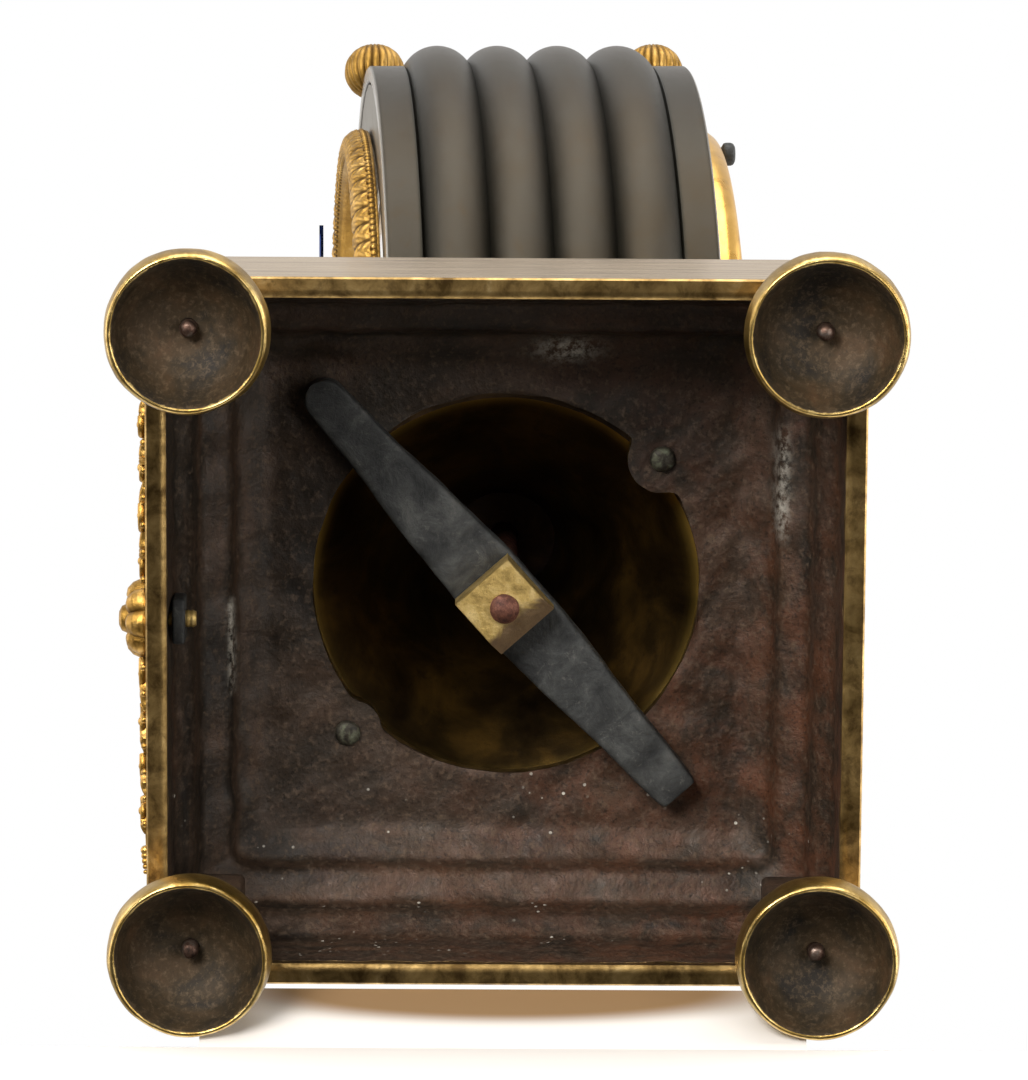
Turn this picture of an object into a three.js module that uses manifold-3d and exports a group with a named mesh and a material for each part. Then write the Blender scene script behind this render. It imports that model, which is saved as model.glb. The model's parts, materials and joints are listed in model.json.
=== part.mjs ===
// Pedestal mantel clock with a reeded drum head: a square hollow cast plinth on four cup feet,
// a round trumpet pedestal, and a drum that holds a short-pendulum movement between two hinged covers.
// Millimetres. +Z is up, the dial faces -Y, X is the width. The origin is on the ground, below the centre.
import * as THREE from "three";
import { mergeVertices } from "three/addons/utils/BufferGeometryUtils.js";
import Module from "manifold-3d";

const wasm = await Module();
wasm.setup();

// ---- driving dimensions ----
const GAP = 0.3; // between neighbouring pieces
const PLINTH = 120; // side of the square plinth
const FOOT_H = 15;
const BAND_H = 28.3; // plain vertical band of the plinth
const WALL = 3.5; // cast wall
const PLATE_Z = 52; // underside of the plinth's top plate
const PLATE_T = 3.5;
const HOLE_R = 33.5; // round hole in the top plate
const HOLE_AT = [2.1, 0.3]; // the hole was cored a little off the axis
const CLAMP_ANGLE = 138.2; // degrees from +X to the square end of the clamp bar
const RIVET_CIRCLE = 36.4;
const ROD_R = 2.5;
const NUT_SIDE = 12;
const NECK_R = 9.5; // inside the pedestal's throat
const NECK_Z = 111;
const HEAD_AT = [0, 5, 200]; // centre of the drum
const HEAD_NOD = 4; // degrees that the head leans forward on its cradle
const DRUM_HALF = 31.4; // half the drum's length
const BAND_R = 79.2; // flat band at each end of the drum
const GROOVE_R = 80.2;
const CREST_R = 83.2;
const BAND_W = 7.6;
const REEDS = 4;
const DRUM_BORE = 76;
const BEZEL_R = 66.8;
const BEZEL_IN = 60.5;
const BEZEL_T = 4.9; // how far the bezel stands off the drum
const DOOR_T = 6.3; // and the rear door
const DIAL_R = 64;
const HINGE_X = -72.6; // both cover hinges, on the dial's left side
const MODULE = 0.8; // tooth size of the wheels of the going train

const base = new THREE.Group();
const head = new THREE.Group();
head.position.set(...HEAD_AT);
head.rotation.x = THREE.MathUtils.degToRad(HEAD_NOD);
head.updateMatrixWorld(true);
const clock = new THREE.Group();
clock.add(base, head);

// ---- finishes: colour, roughness, metalness ----
const FINISH = {
  bronze: [0x4a3a2c, 0.5, 0.8],
  drumBronze: [0x6a655c, 0.45, 0.85],
  gilt: [0xc79a3e, 0.35, 1.0],
  brass: [0xb08d4a, 0.4, 1.0],
  iron: [0x3a3a38, 0.75, 0.7],
  steel: [0x8a8a88, 0.35, 1.0],
  blued: [0x1c2233, 0.3, 1.0],
  enamel: [0xf1ece0, 0.15, 0.0],
};

// ---- solids ----
function solid(geometry) {
  const plain = geometry.clone();
  plain.deleteAttribute("normal");
  plain.deleteAttribute("uv");
  const merged = mergeVertices(plain, 1e-4);
  return new wasm.Manifold(
    new wasm.Mesh({
      numProp: 3,
      vertProperties: new Float32Array(merged.attributes.position.array),
      triVerts: new Uint32Array(merged.index.array),
    }),
  );
}

function asGeometry(body) {
  const mesh = body.getMesh();
  const geometry = new THREE.BufferGeometry();
  geometry.setAttribute("position", new THREE.BufferAttribute(mesh.vertProperties, 3));
  geometry.setIndex(new THREE.BufferAttribute(mesh.triVerts, 1));
  geometry.computeVertexNormals();
  return geometry;
}

function union(...bodies) {
  return bodies.reduce((whole, body) => whole.add(body));
}

function add(group, name, finish, body) {
  const [color, roughness, metalness] = FINISH[finish];
  const material = new THREE.MeshStandardMaterial({ color, roughness, metalness });
  const mesh = new THREE.Mesh(asGeometry(body), material);
  mesh.name = name;
  group.add(mesh);
  return mesh;
}

// A profile of [radius, height] points turned about Y; it runs up its outside and down its inside.
function turnedY(profile, segments) {
  const points = profile.map(([r, y]) => new THREE.Vector2(r, y));
  return new THREE.LatheGeometry(points, segments);
}

const ring = (profile, segments = 48) => solid(turnedY([...profile, profile[0]], segments));
const turned = (profile, segments = 48) => solid(turnedY(profile, segments));
const upright = (profile, segments = 48) =>
  solid(turnedY([...profile, profile[0]], segments).rotateX(Math.PI / 2));
const uprightOnAxis = (profile, segments = 48) =>
  solid(turnedY(profile, segments).rotateX(Math.PI / 2));

function box(x0, x1, y0, y1, z0, z1) {
  const geometry = new THREE.BoxGeometry(x1 - x0, y1 - y0, z1 - z0);
  return solid(geometry.translate((x0 + x1) / 2, (y0 + y1) / 2, (z0 + z1) / 2));
}

function rodZ(r, z0, z1, x = 0, y = 0, segments = 24) {
  const geometry = new THREE.CylinderGeometry(r, r, z1 - z0, segments).rotateX(Math.PI / 2);
  return solid(geometry.translate(x, y, (z0 + z1) / 2));
}

function rodY(r, y0, y1, x = 0, z = 0, segments = 16) {
  const geometry = new THREE.CylinderGeometry(r, r, y1 - y0, segments);
  return solid(geometry.translate(x, (y0 + y1) / 2, z));
}

// An outline of [x, z] points made a plate from y0 to y1.
function plateY(outline, y0, y1, holes = []) {
  const shape = new THREE.Shape(outline.map(([x, z]) => new THREE.Vector2(x, z)));
  for (const [x, z, r] of holes) {
    const hole = new THREE.Path();
    hole.absarc(x, z, r, 0, Math.PI * 2, true);
    shape.holes.push(hole);
  }
  const options = { depth: y1 - y0, bevelEnabled: false, curveSegments: 4 };
  return solid(new THREE.ExtrudeGeometry(shape, options).rotateX(Math.PI / 2).translate(0, y1, 0));
}

const polar = (r, degrees) => {
  const angle = THREE.MathUtils.degToRad(degrees);
  return [r * Math.cos(angle), r * Math.sin(angle)];
};

const arc = (cx, cy, r, from, to, steps) =>
  Array.from({ length: steps + 1 }, (_, i) => {
    const [x, y] = polar(r, from + ((to - from) * i) / steps);
    return [cx + x, cy + y];
  });

// ---- plinth: a square section carried round four sides, hollow, open below ----
const half = PLINTH / 2;
const rimZ = FOOT_H;
const plinthTop = PLATE_Z + PLATE_T;
const squareOf = (profile) => {
  const corners = profile.map(([w, z]) => new THREE.Vector2(w * Math.SQRT2, z));
  const geometry = new THREE.LatheGeometry(corners, 4, Math.PI / 4);
  return solid(geometry.rotateX(Math.PI / 2));
};

const FOOT_AT = half - 7.7;
const feet = [
  ["front_left", -1, -1],
  ["front_right", 1, -1],
  ["rear_left", -1, 1],
  ["rear_right", 1, 1],
];
const PIN_R = 1.45;
const LUG_H = 14;
const FRIEZE_Z = rimZ + BAND_H / 2;
const rivets = [CLAMP_ANGLE - 90, CLAMP_ANGLE + 90].map((a) => polar(RIVET_CIRCLE, a));

function plinth() {
  const shoulder = rimZ + BAND_H;
  const outside = [
    [0, rimZ],
    [half, rimZ],
    [half, shoulder],
    [half - 2.2, shoulder + 0.8],
    [half - 2.2, shoulder + 2.2],
    ...arc(half - 2.4, plinthTop - 1.4, 9.2, 270, 180, 5),
    [half - 12.4, plinthTop],
    [0, plinthTop],
  ];
  const inside = [
    [0, rimZ - 1],
    [half - WALL, rimZ - 1],
    [half - WALL, rimZ + 19],
    [half - 7, rimZ + 23],
    [half - 7.6, rimZ + 28],
    [half - 13, rimZ + 30.5],
    [half - 13.6, rimZ + 34],
    [half - 19, PLATE_Z],
    [0, PLATE_Z],
  ];
  let body = squareOf(outside).subtract(squareOf(inside));
  const inner = half - WALL;
  for (const [, sx, sy] of feet) {
    const lug = box(-6.5, 6.5, -6.5, 6.5, rimZ, rimZ + LUG_H);
    body = body.add(lug.translate([sx * (inner - 6), sy * (inner - 6), 0]));
  }
  for (const [, sx, sy] of feet) {
    body = body.subtract(rodZ(PIN_R + GAP, rimZ - 1, rimZ + 11, sx * FOOT_AT, sy * FOOT_AT, 16));
  }
  let hole = rodZ(HOLE_R, PLATE_Z - 1, plinthTop + 1, ...HOLE_AT, 72);
  for (const [x, y] of rivets) hole = hole.subtract(rodZ(6, 0, 99, x, y, 24));
  body = body.subtract(hole);
  for (const [x, y] of rivets) body = body.subtract(rodZ(1.5 + GAP, 0, 99, x, y, 16));
  return body.subtract(rodY(1.5 + GAP, -half - 1, -half + 9, 0, FRIEZE_Z));
}
add(base, "plinth", "bronze", plinth());

// ---- feet: turned cups, mouth down, each held by a pin into a lug in the plinth's corner ----
const cup = [
  [PIN_R + GAP, 9.2],
  [6, 8.3],
  [10, 5.2],
  [12.1, 0],
  [12.8, 0],
  [13.5, 2],
  [13.7, 4.2],
  [13.1, 7.2],
  [11.2, 10],
  [8.6, 12.2],
  [8.2, FOOT_H - GAP],
  [PIN_R + GAP, FOOT_H - GAP],
];
const footPin = [
  [0, 6.4],
  [PIN_R - 0.4, 6.4],
  [PIN_R, 7],
  [PIN_R, rimZ + 10],
  [0, rimZ + 10],
];
for (const [place, sx, sy] of feet) {
  const at = [sx * FOOT_AT, sy * FOOT_AT, 0];
  add(base, `foot_${place}`, "brass", upright(cup, 18).translate(at));
  add(base, `foot_pin_${place}`, "steel", uprightOnAxis(footPin, 12).translate(at));
}

// ---- frieze mount on the front band: a spray of leaves each side of a rosette ----
function friezeMount() {
  const reach = 44;
  const count = 26;
  const edge = (x) => {
    const u = Math.abs(x) / reach;
    return 2.2 + 4.4 * (1 - u) ** 0.6 * (0.72 + 0.28 * Math.abs(Math.cos(x * 0.36)));
  };
  const top = [];
  for (let i = 0; i <= count; i++) {
    const x = reach - (2 * reach * i) / count;
    top.push([x, edge(x)]);
  }
  const bottom = top.map(([x, z]) => [-x, -z * 0.8]);
  const spray = plateY([...top, ...bottom], -half - GAP - 2, -half - GAP).translate([0, 0, FRIEZE_Z]);
  const boss = [
    [0, -half - 5.3],
    [3.4, -half - 4.9],
    [5.6, -half - 3.4],
    [6.8, -half - 1.6],
    [6.8, -half - GAP],
    [0, -half - GAP],
  ];
  return spray.add(turned(boss, 20).translate([0, 0, FRIEZE_Z]));
}
add(base, "frieze_mount", "gilt", friezeMount());
const wallIn = -half + WALL;
add(base, "frieze_stud", "brass", rodY(1.5, -half, wallIn + 4.4, 0, FRIEZE_Z, 16));
const friezeNut = box(-3.9, 3.9, wallIn + GAP, wallIn + 2.5, FRIEZE_Z - 3.4, FRIEZE_Z + 3.4);
add(base, "frieze_nut", "iron", friezeNut.subtract(rodY(1.5 + GAP, -99, 99, 0, FRIEZE_Z)));

// ---- pedestal: a hollow trumpet from the plinth to the neck, riveted through the plate ----
const pedestalZ = plinthTop + GAP;
const pedestalTop = NECK_Z + 3;
const MOUTH_R = 34.2;
const flare = (z) => {
  const t = THREE.MathUtils.clamp((z - pedestalZ - 2) / (NECK_Z - pedestalZ - 2), 0, 1);
  return NECK_R + (MOUTH_R - NECK_R) * (1 - t) ** 2.1;
};

function pedestal() {
  const steps = 4;
  const wall = 3.2;
  const low = pedestalZ + 6;
  const high = NECK_Z - 7;
  const outer = Array.from({ length: steps + 1 }, (_, i) => {
    const z = low + ((high - low) * i) / steps;
    return [flare(z) + wall, z];
  });
  const inner = Array.from({ length: steps + 1 }, (_, i) => {
    const z = NECK_Z - ((NECK_Z - pedestalZ - 2) * i) / steps;
    return [flare(z), z];
  });
  const profile = [
    [MOUTH_R, pedestalZ],
    [41.5, pedestalZ],
    [42.4, pedestalZ + 2],
    [41.5, pedestalZ + 4],
    [39.6, pedestalZ + 4.6],
    ...outer,
    [14.2, NECK_Z - 6],
    [16.6, NECK_Z - 4],
    [17.2, NECK_Z - 2],
    [16.4, NECK_Z + 0.4],
    [14.6, NECK_Z + 1.2],
    [14.6, pedestalTop],
    [NECK_R, pedestalTop],
    ...inner,
  ];
  let body = upright(profile, 28);
  for (const [x, y] of rivets) {
    body = body.subtract(rodZ(1.5 + GAP, pedestalZ - 1, pedestalZ + 4, x, y, 16));
  }
  return body;
}
add(base, "pedestal", "bronze", pedestal());
const rivet = [
  [0, PLATE_Z - GAP - 1.3],
  [1.5, PLATE_Z - GAP - 1.1],
  [2.3, PLATE_Z - GAP - 0.5],
  [2.3, PLATE_Z - GAP],
  [1.5, PLATE_Z - GAP],
  [1.5, pedestalZ + 3.5],
  [0, pedestalZ + 3.5],
];
for (const [i, [x, y]] of rivets.entries()) {
  add(base, `pedestal_rivet_${i + 1}`, "steel", uprightOnAxis(rivet, 12).translate([x, y, 0]));
}

// ---- cradle under the drum, hollowed to its round ----
const CRADLE_X = 21;
const CRADLE_Y = [-17, 30];
const headBore = (r, length) => {
  const cylinder = new THREE.CylinderGeometry(r, r, length, 96);
  return solid(cylinder.applyMatrix4(head.matrixWorld));
};
const cradleLow = pedestalTop + GAP;
const cradle = box(-CRADLE_X, CRADLE_X, ...CRADLE_Y, cradleLow, cradleLow + 7)
  .subtract(headBore(CREST_R + GAP, 200))
  .subtract(rodZ(ROD_R + GAP, 0, 200));
add(base, "cradle", "bronze", cradle);

// ---- tie rod, clamp bar and nuts: they pull plinth, pedestal, cradle and drum together ----
const BAR_T = 4.5;
const barLow = PLATE_Z - GAP - BAR_T;
const NUT_T = 6.5;
const nutLow = barLow - GAP - NUT_T;
const rodLow = nutLow - 2.2;
const drumNutLow = HEAD_AT[2] - DRUM_BORE + 0.7;
const tieRod = uprightOnAxis([
  [0, rodLow],
  [ROD_R - 0.6, rodLow + 0.2],
  [ROD_R, rodLow + 1],
  [ROD_R, drumNutLow + 7],
  [0, drumNutLow + 7],
], 20);
add(base, "tie_rod", "steel", tieRod);

// The bar is widest at the rod, round at one end and cut square at the other.
function clampBar() {
  const wide = 6.45;
  const narrow = 3.6;
  const roundEnd = 46.5;
  const squareEnd = 45.8;
  const outline = [
    [-NUT_SIDE / 2, -wide],
    [NUT_SIDE / 2, -wide],
    [squareEnd, -narrow],
    [squareEnd, narrow],
    [NUT_SIDE / 2, wide],
    [-NUT_SIDE / 2, wide],
    ...arc(-roundEnd, 0, narrow, 90, 270, 8),
  ];
  const shape = new THREE.Shape(outline.map(([x, y]) => new THREE.Vector2(x, y)));
  const geometry = new THREE.ExtrudeGeometry(shape, { depth: BAR_T, bevelEnabled: false });
  geometry.rotateZ(THREE.MathUtils.degToRad(CLAMP_ANGLE)).translate(0, 0, barLow);
  return solid(geometry).subtract(rodZ(ROD_R + GAP, 0, 99));
}
add(base, "clamp_bar", "iron", clampBar());

// The square nut has one lower edge filed off along the side towards the bar's square end.
function clampNut() {
  const s = NUT_SIDE / 2;
  const section = new THREE.Shape([
    new THREE.Vector2(-s, 0),
    new THREE.Vector2(s - 3.4, 0),
    new THREE.Vector2(s, 2.2),
    new THREE.Vector2(s, NUT_T),
    new THREE.Vector2(-s, NUT_T),
  ]);
  const geometry = new THREE.ExtrudeGeometry(section, { depth: NUT_SIDE, bevelEnabled: false });
  geometry.translate(0, 0, -s).rotateX(Math.PI / 2);
  geometry.rotateZ(THREE.MathUtils.degToRad(CLAMP_ANGLE)).translate(0, 0, nutLow);
  return solid(geometry).subtract(rodZ(ROD_R + GAP, 0, 99, 0, 0, 20));
}
add(base, "clamp_nut", "brass", clampNut());
const drumNut = rodZ(6, drumNutLow, drumNutLow + 5, 0, 0, 6).subtract(rodZ(ROD_R + GAP, 0, 200));
add(base, "drum_nut", "steel", drumNut);

// ---- drum: a turned shell with four bold reeds between two flat bands ----
function drumOutside() {
  const pitch = (2 * (DRUM_HALF - BAND_W)) / REEDS;
  const swell = CREST_R - GROOVE_R;
  const reedRound = ((pitch / 2) ** 2 + swell ** 2) / (2 * swell);
  const steps = 3;
  const profile = [
    [BAND_R, -DRUM_HALF],
    [BAND_R, -DRUM_HALF + BAND_W - 0.8],
  ];
  for (let reed = 0; reed < REEDS; reed++) {
    const start = -DRUM_HALF + BAND_W + reed * pitch;
    for (let i = reed ? 1 : 0; i <= steps; i++) {
      const u = i / steps;
      const rise = Math.sqrt(reedRound ** 2 - ((u - 0.5) * pitch) ** 2) - reedRound + swell;
      profile.push([GROOVE_R + rise, start + u * pitch]);
    }
  }
  profile.push([BAND_R, DRUM_HALF - BAND_W + 0.8], [BAND_R, DRUM_HALF]);
  return profile;
}

function drumShell() {
  const profile = [[DRUM_BORE, DRUM_HALF], [DRUM_BORE, -DRUM_HALF], ...drumOutside()];
  const rodHole = new THREE.CylinderGeometry(ROD_R + GAP, ROD_R + GAP, 40, 20);
  rodHole.rotateX(Math.PI / 2).translate(0, 0, HEAD_AT[2] - 80);
  rodHole.applyMatrix4(head.matrixWorld.clone().invert());
  return ring(profile, 48).subtract(solid(rodHole));
}
add(head, "drum_shell", "drumBronze", drumShell());

// Four gadrooned bosses stand on the bands at the drum's shoulders.
const BOSS_R = 6.4;
const BOSS_ANGLE = 28;
for (const [side, sx] of [["left", -1], ["right", 1]]) {
  for (const [end, sy] of [["front", -1], ["rear", 1]]) {
    const ball = new THREE.SphereGeometry(BOSS_R, 12, 8);
    const [x, z] = polar(BAND_R + 5, BOSS_ANGLE);
    const boss = solid(ball.translate(sx * x, sy * (DRUM_HALF - BAND_W / 2), z))
      .subtract(rodY(BAND_R + 2 * GAP, -50, 50, 0, 0, 48))
      .subtract(rodY(CREST_R + GAP, BAND_W - DRUM_HALF - 1.1, DRUM_HALF - BAND_W + 1.1, 0, 0, 48));
    add(head, `shoulder_boss_${end}_${side}`, "gilt", boss);
  }
}

// ---- seats inside the drum ----
const SEAT_R = DRUM_BORE - GAP;
const seatY = -26;
const dialSeat = ring([
  [57, seatY],
  [DIAL_R + GAP, seatY],
  [DIAL_R + GAP, -DRUM_HALF + GAP],
  [SEAT_R, -DRUM_HALF + GAP],
  [SEAT_R, seatY + 3.1],
  [57, seatY + 3.1],
], 40);
add(head, "dial_seat", "drumBronze", dialSeat);
const rearSeat = ring([
  [65, DRUM_HALF - 5],
  [SEAT_R, DRUM_HALF - 5],
  [SEAT_R, DRUM_HALF - GAP],
  [65, DRUM_HALF - GAP],
], 40);
add(head, "rear_seat", "drumBronze", rearSeat);

// ---- dial: a convex enamelled disc with holes for the hands and the key ----
const DIAL_RISE = 4.5;
const BARREL_Z = -32 * MODULE; // 54-tooth barrel with a 10-leaf centre pinion
function dial() {
  const back = seatY - GAP;
  const steps = 2;
  const dome = (y) =>
    Array.from({ length: steps + 1 }, (_, i) => {
      const u = i / steps;
      return [DIAL_R * u, y - DIAL_RISE * (1 - u * u)];
    });
  const body = turned([...dome(back - 1.5), ...dome(back).reverse()], 36);
  return body.subtract(rodY(3.8, -40, 0)).subtract(rodY(3.6, -40, 0, 0, BARREL_Z));
}
add(head, "dial", "enamel", dial());

// ---- cover hinges: two fixed knuckles on a leaf, one knuckle on the cover, and a pin ----
const KNUCKLE_R = 2;
const HINGE_Y = DRUM_HALF + 3.2;
const PIN_HINGE_R = 0.75;
function knuckle(z0, z1, y) {
  return rodZ(KNUCKLE_R, z0, z1, HINGE_X, y, 20);
}
function hinge(end, sy) {
  const y = sy * HINGE_Y;
  const face = sy * (DRUM_HALF + GAP);
  const [near, far] = [face, face + sy * 1.1].sort((a, b) => a - b);
  const leaf = box(-78, -70.8, near, far, -9, 9);
  const fixed = union(
    leaf.subtract(box(-99, 0, -99, 99, -4, 4)),
    box(-78, -74.9, near, far, -4.5, 4.5),
    knuckle(4, 9, y),
    knuckle(-9, -4, y),
  ).subtract(rodZ(PIN_HINGE_R + GAP, -20, 20, HINGE_X, y, 12));
  add(head, `${end}_hinge_leaf`, "brass", fixed);
  add(head, `${end}_hinge_pin`, "steel", rodZ(PIN_HINGE_R, -9.6, 9.6, HINGE_X, y, 12));
}
hinge("bezel", -1);
hinge("rear_door", 1);

// The cover's own knuckle and the arm that joins it to the rim.
function coverKnuckle(sy) {
  const y = sy * HINGE_Y;
  const arm = box(HINGE_X, -65.2, y - 1, y + 1, -3.6, 3.6);
  return union(arm, knuckle(-3.6, 3.6, y)).subtract(rodZ(PIN_HINGE_R + GAP, -20, 20, HINGE_X, y, 12));
}

// ---- front bezel: an open ring, rounded from its rim over to the dial opening ----
const coverY = -DRUM_HALF - GAP;
const bezelRing = ring([
  [BEZEL_IN, coverY],
  [BEZEL_IN, coverY - 3.2],
  [61.4, coverY - 4.4],
  [63, coverY - BEZEL_T],
  [64.8, coverY - 4.4],
  [66.2, coverY - 3],
  [BEZEL_R, coverY - 1.4],
  [BEZEL_R, coverY],
], 40);
add(head, "bezel", "gilt", bezelRing.add(coverKnuckle(-1)));

// ---- rear door with its knob ----
const doorY = DRUM_HALF + GAP;
const KNOB_X = 62;
const doorDisc = turned([
  [0, doorY],
  [BEZEL_R, doorY],
  [BEZEL_R, doorY + 1.8],
  [66, doorY + 4.2],
  [63.9, doorY + DOOR_T - 0.4],
  [61.2, doorY + 5],
  [59.6, doorY + 2.6],
  [0, doorY + 3.2],
], 40);
const rearDoor = doorDisc.add(coverKnuckle(1)).subtract(rodY(1.1 + GAP, 0, 99, KNOB_X, 0, 16));
add(head, "rear_door", "gilt", rearDoor);
const knob = turned([
  [0, doorY],
  [1.1, doorY],
  [1.1, doorY + 6.4],
  [2.25, doorY + 7],
  [2.25, doorY + 8.8],
  [1.6, doorY + 9.3],
  [0, doorY + 9.3],
], 16).translate([KNOB_X, 0, 0]);
add(head, "rear_door_knob", "iron", knob);

// ---- movement ----
const frontPlate = [-22.6, -21];
const backPlate = [8, 9.6];
const PIVOT = 1;
const disc = (r, steps = 36) => arc(0, 0, r, 0, 360 - 360 / steps, steps - 1);

// A wheel of straight-sided pointed teeth, thinner than the spaces between them.
function gear(teeth, module, y0, y1, turn = 0) {
  const pitch = 360 / teeth;
  const r = (teeth * module) / 2;
  const outline = [];
  for (let i = 0; i < teeth; i++) {
    const at = turn + i * pitch;
    outline.push(polar(r - 1.2 * module, at - 0.25 * pitch));
    outline.push(polar(r + 0.85 * module, at));
    outline.push(polar(r - 1.2 * module, at + 0.25 * pitch));
  }
  return plateY(outline, y0, y1);
}

const THIRD_AT = polar(28 * MODULE, 140); // 48-tooth centre wheel with an 8-leaf pinion
const ESCAPE_AT = [0, THIRD_AT[1] + Math.sqrt((26.5 * MODULE) ** 2 - THIRD_AT[0] ** 2)];
const PALLET_AT = [0, 42];
const MINUTE_WHEEL_X = 16 * MODULE; // 8-leaf cannon pinion with a 24-tooth minute wheel
const HOUR_MODULE = (32 * MODULE) / 40; // 8-leaf minute pinion with a 32-tooth hour wheel
const PILLAR_CIRCLE = 44;
const toward = ([x, z], [u, w]) => THREE.MathUtils.radToDeg(Math.atan2(w - z, u - x));
const CENTRE = [0, 0];
const BARREL_AT = [0, BARREL_Z];

const pillarAt = [45, 135, 225, 315].map((a) => polar(PILLAR_CIRCLE, a));
const bearings = [CENTRE, THIRD_AT, ESCAPE_AT, PALLET_AT];
const bores = [
  ...bearings.map(([x, z]) => [x, z, PIVOT + GAP]),
  [...BARREL_AT, 2.4 + GAP],
  ...pillarAt.map(([x, z]) => [x, z, 1.2 + GAP]),
];
add(head, "movement_front_plate", "brass", plateY(disc(61.5), ...frontPlate, bores));
add(head, "movement_back_plate", "brass", plateY(disc(50), ...backPlate, bores));
const pillar = [
  [0, frontPlate[0] - 0.6],
  [1.2, frontPlate[0] - 0.6],
  [1.2, frontPlate[1] + GAP],
  [2.6, frontPlate[1] + GAP],
  [2, -6],
  [2.6, backPlate[0] - GAP],
  [1.2, backPlate[0] - GAP],
  [1.2, backPlate[1] + 0.8],
  [0, backPlate[1] + 0.8],
];
for (const [i, [x, z]] of pillarAt.entries()) {
  add(head, `movement_pillar_${i + 1}`, "brass", turned(pillar, 8).translate([x, 0, z]));
}

// Spring barrel: a toothed drum that turns on the winding arbor.
const barrel = union(gear(54, MODULE, -8.5, -7, 90), rodY(17.5, -7.2, 5, 0, 0, 36))
  .subtract(rodY(2.4 + GAP, -50, 50))
  .translate([0, 0, BARREL_Z]);
add(head, "spring_barrel", "brass", barrel);
const RATCHET_TEETH = 24;
const RATCHET_R = 8;
const ratchet = Array.from({ length: RATCHET_TEETH }, (_, i) => [
  polar(RATCHET_R, (360 * i) / RATCHET_TEETH),
  polar(RATCHET_R - 1.6, (360 * i + 60) / RATCHET_TEETH),
]).flat();
const windingArbor = union(
  rodY(2.4, -26, backPlate[1] + 1),
  rodY(2.1, -31.4, -25, 0, 0, 4),
  plateY(ratchet, -24.4, -22.9),
).translate([0, 0, BARREL_Z]);
add(head, "winding_arbor", "steel", windingArbor);
const clickAt = [-14, BARREL_Z + 4];
const click = plateY([
  [-16.4, 3],
  [-14, 1.4],
  [-RATCHET_R - 1.4, -0.6],
  [-RATCHET_R - 0.5, 0.8],
  [-12, 5.6],
  [-15.4, 6],
], -24.4, -22.9).translate([0, 0, BARREL_Z]).subtract(rodY(0.7 + GAP, -50, 0, ...clickAt, 12));
add(head, "click", "steel", click);
const clickScrew = union(rodY(0.7, -25.4, -22.9, ...clickAt, 12), rodY(1.6, -25.6, -24.7, ...clickAt, 12));
add(head, "click_screw", "steel", clickScrew);

// Centre arbor with its pinion and wheel; the cannon pinion and minute hand ride on it.
const centreWheel = union(
  rodY(PIVOT, -42.2, backPlate[1] + 1, 0, 0, 12),
  rodY(1.5, frontPlate[1] + GAP, backPlate[0] - GAP, 0, 0, 12),
  gear(10, MODULE, -11, -4, -90 + 180 / 10),
  gear(48, MODULE, -18.5, -17.3, toward(CENTRE, THIRD_AT)),
);
add(head, "centre_wheel", "brass", centreWheel);
const thirdWheel = union(
  rodY(PIVOT, frontPlate[0] - 0.5, backPlate[1] + 0.5, 0, 0, 12),
  gear(8, MODULE, -19.5, -15, toward(THIRD_AT, CENTRE) + 180 / 8),
  gear(45, MODULE, 2, 3.2, toward(THIRD_AT, ESCAPE_AT)),
).translate([THIRD_AT[0], 0, THIRD_AT[1]]);
add(head, "third_wheel", "brass", thirdWheel);
const ESCAPE_TEETH = 30;
const ESCAPE_R = 9.5;
const escapeOutline = Array.from({ length: ESCAPE_TEETH }, (_, i) => [
  polar(ESCAPE_R, (360 * i) / ESCAPE_TEETH),
  polar(ESCAPE_R - 1.8, (360 * i + 90) / ESCAPE_TEETH),
]).flat();
const escapeWheel = union(
  rodY(PIVOT, frontPlate[0] - 0.5, backPlate[1] + 0.5, 0, 0, 12),
  gear(8, MODULE, 0.5, 4.5, toward(ESCAPE_AT, THIRD_AT) + 180 / 8),
  plateY(escapeOutline, 5.2, 6.4),
).translate([ESCAPE_AT[0], 0, ESCAPE_AT[1]]);
add(head, "escape_wheel", "brass", escapeWheel);

// Pallets astride the escape wheel, on one arbor with the crutch behind the back plate.
const span = PALLET_AT[1] - ESCAPE_AT[1];
const palletArc = [
  ...arc(0, -span, ESCAPE_R + 5, 145, 35, 8),
  ...arc(0, -span, ESCAPE_R + 1.6, 35, 145, 8),
];
const crutchFork = [-1.6, 1.6].map((x) => rodY(0.5, 11.2, 17, x, -26, 8));
const pallets = union(
  rodY(PIVOT, frontPlate[0] - 0.5, 12, 0, 0, 12),
  plateY(palletArc, 5.2, 6.4),
  rodY(2.4, 4.8, 6.8, 0, 0, 16),
  box(-1.6, 1.6, 5.2, 6.4, -2, 0),
  rodY(2.2, 10.2, 12, 0, 0, 16),
  box(-2.2, 2.2, 10.7, 12, -27, -24.6),
  box(-0.9, 0.9, 10.7, 12, -25, 0),
  ...crutchFork,
).translate([PALLET_AT[0], 0, PALLET_AT[1]]);
add(head, "pallet_arbor", "steel", pallets);

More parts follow.
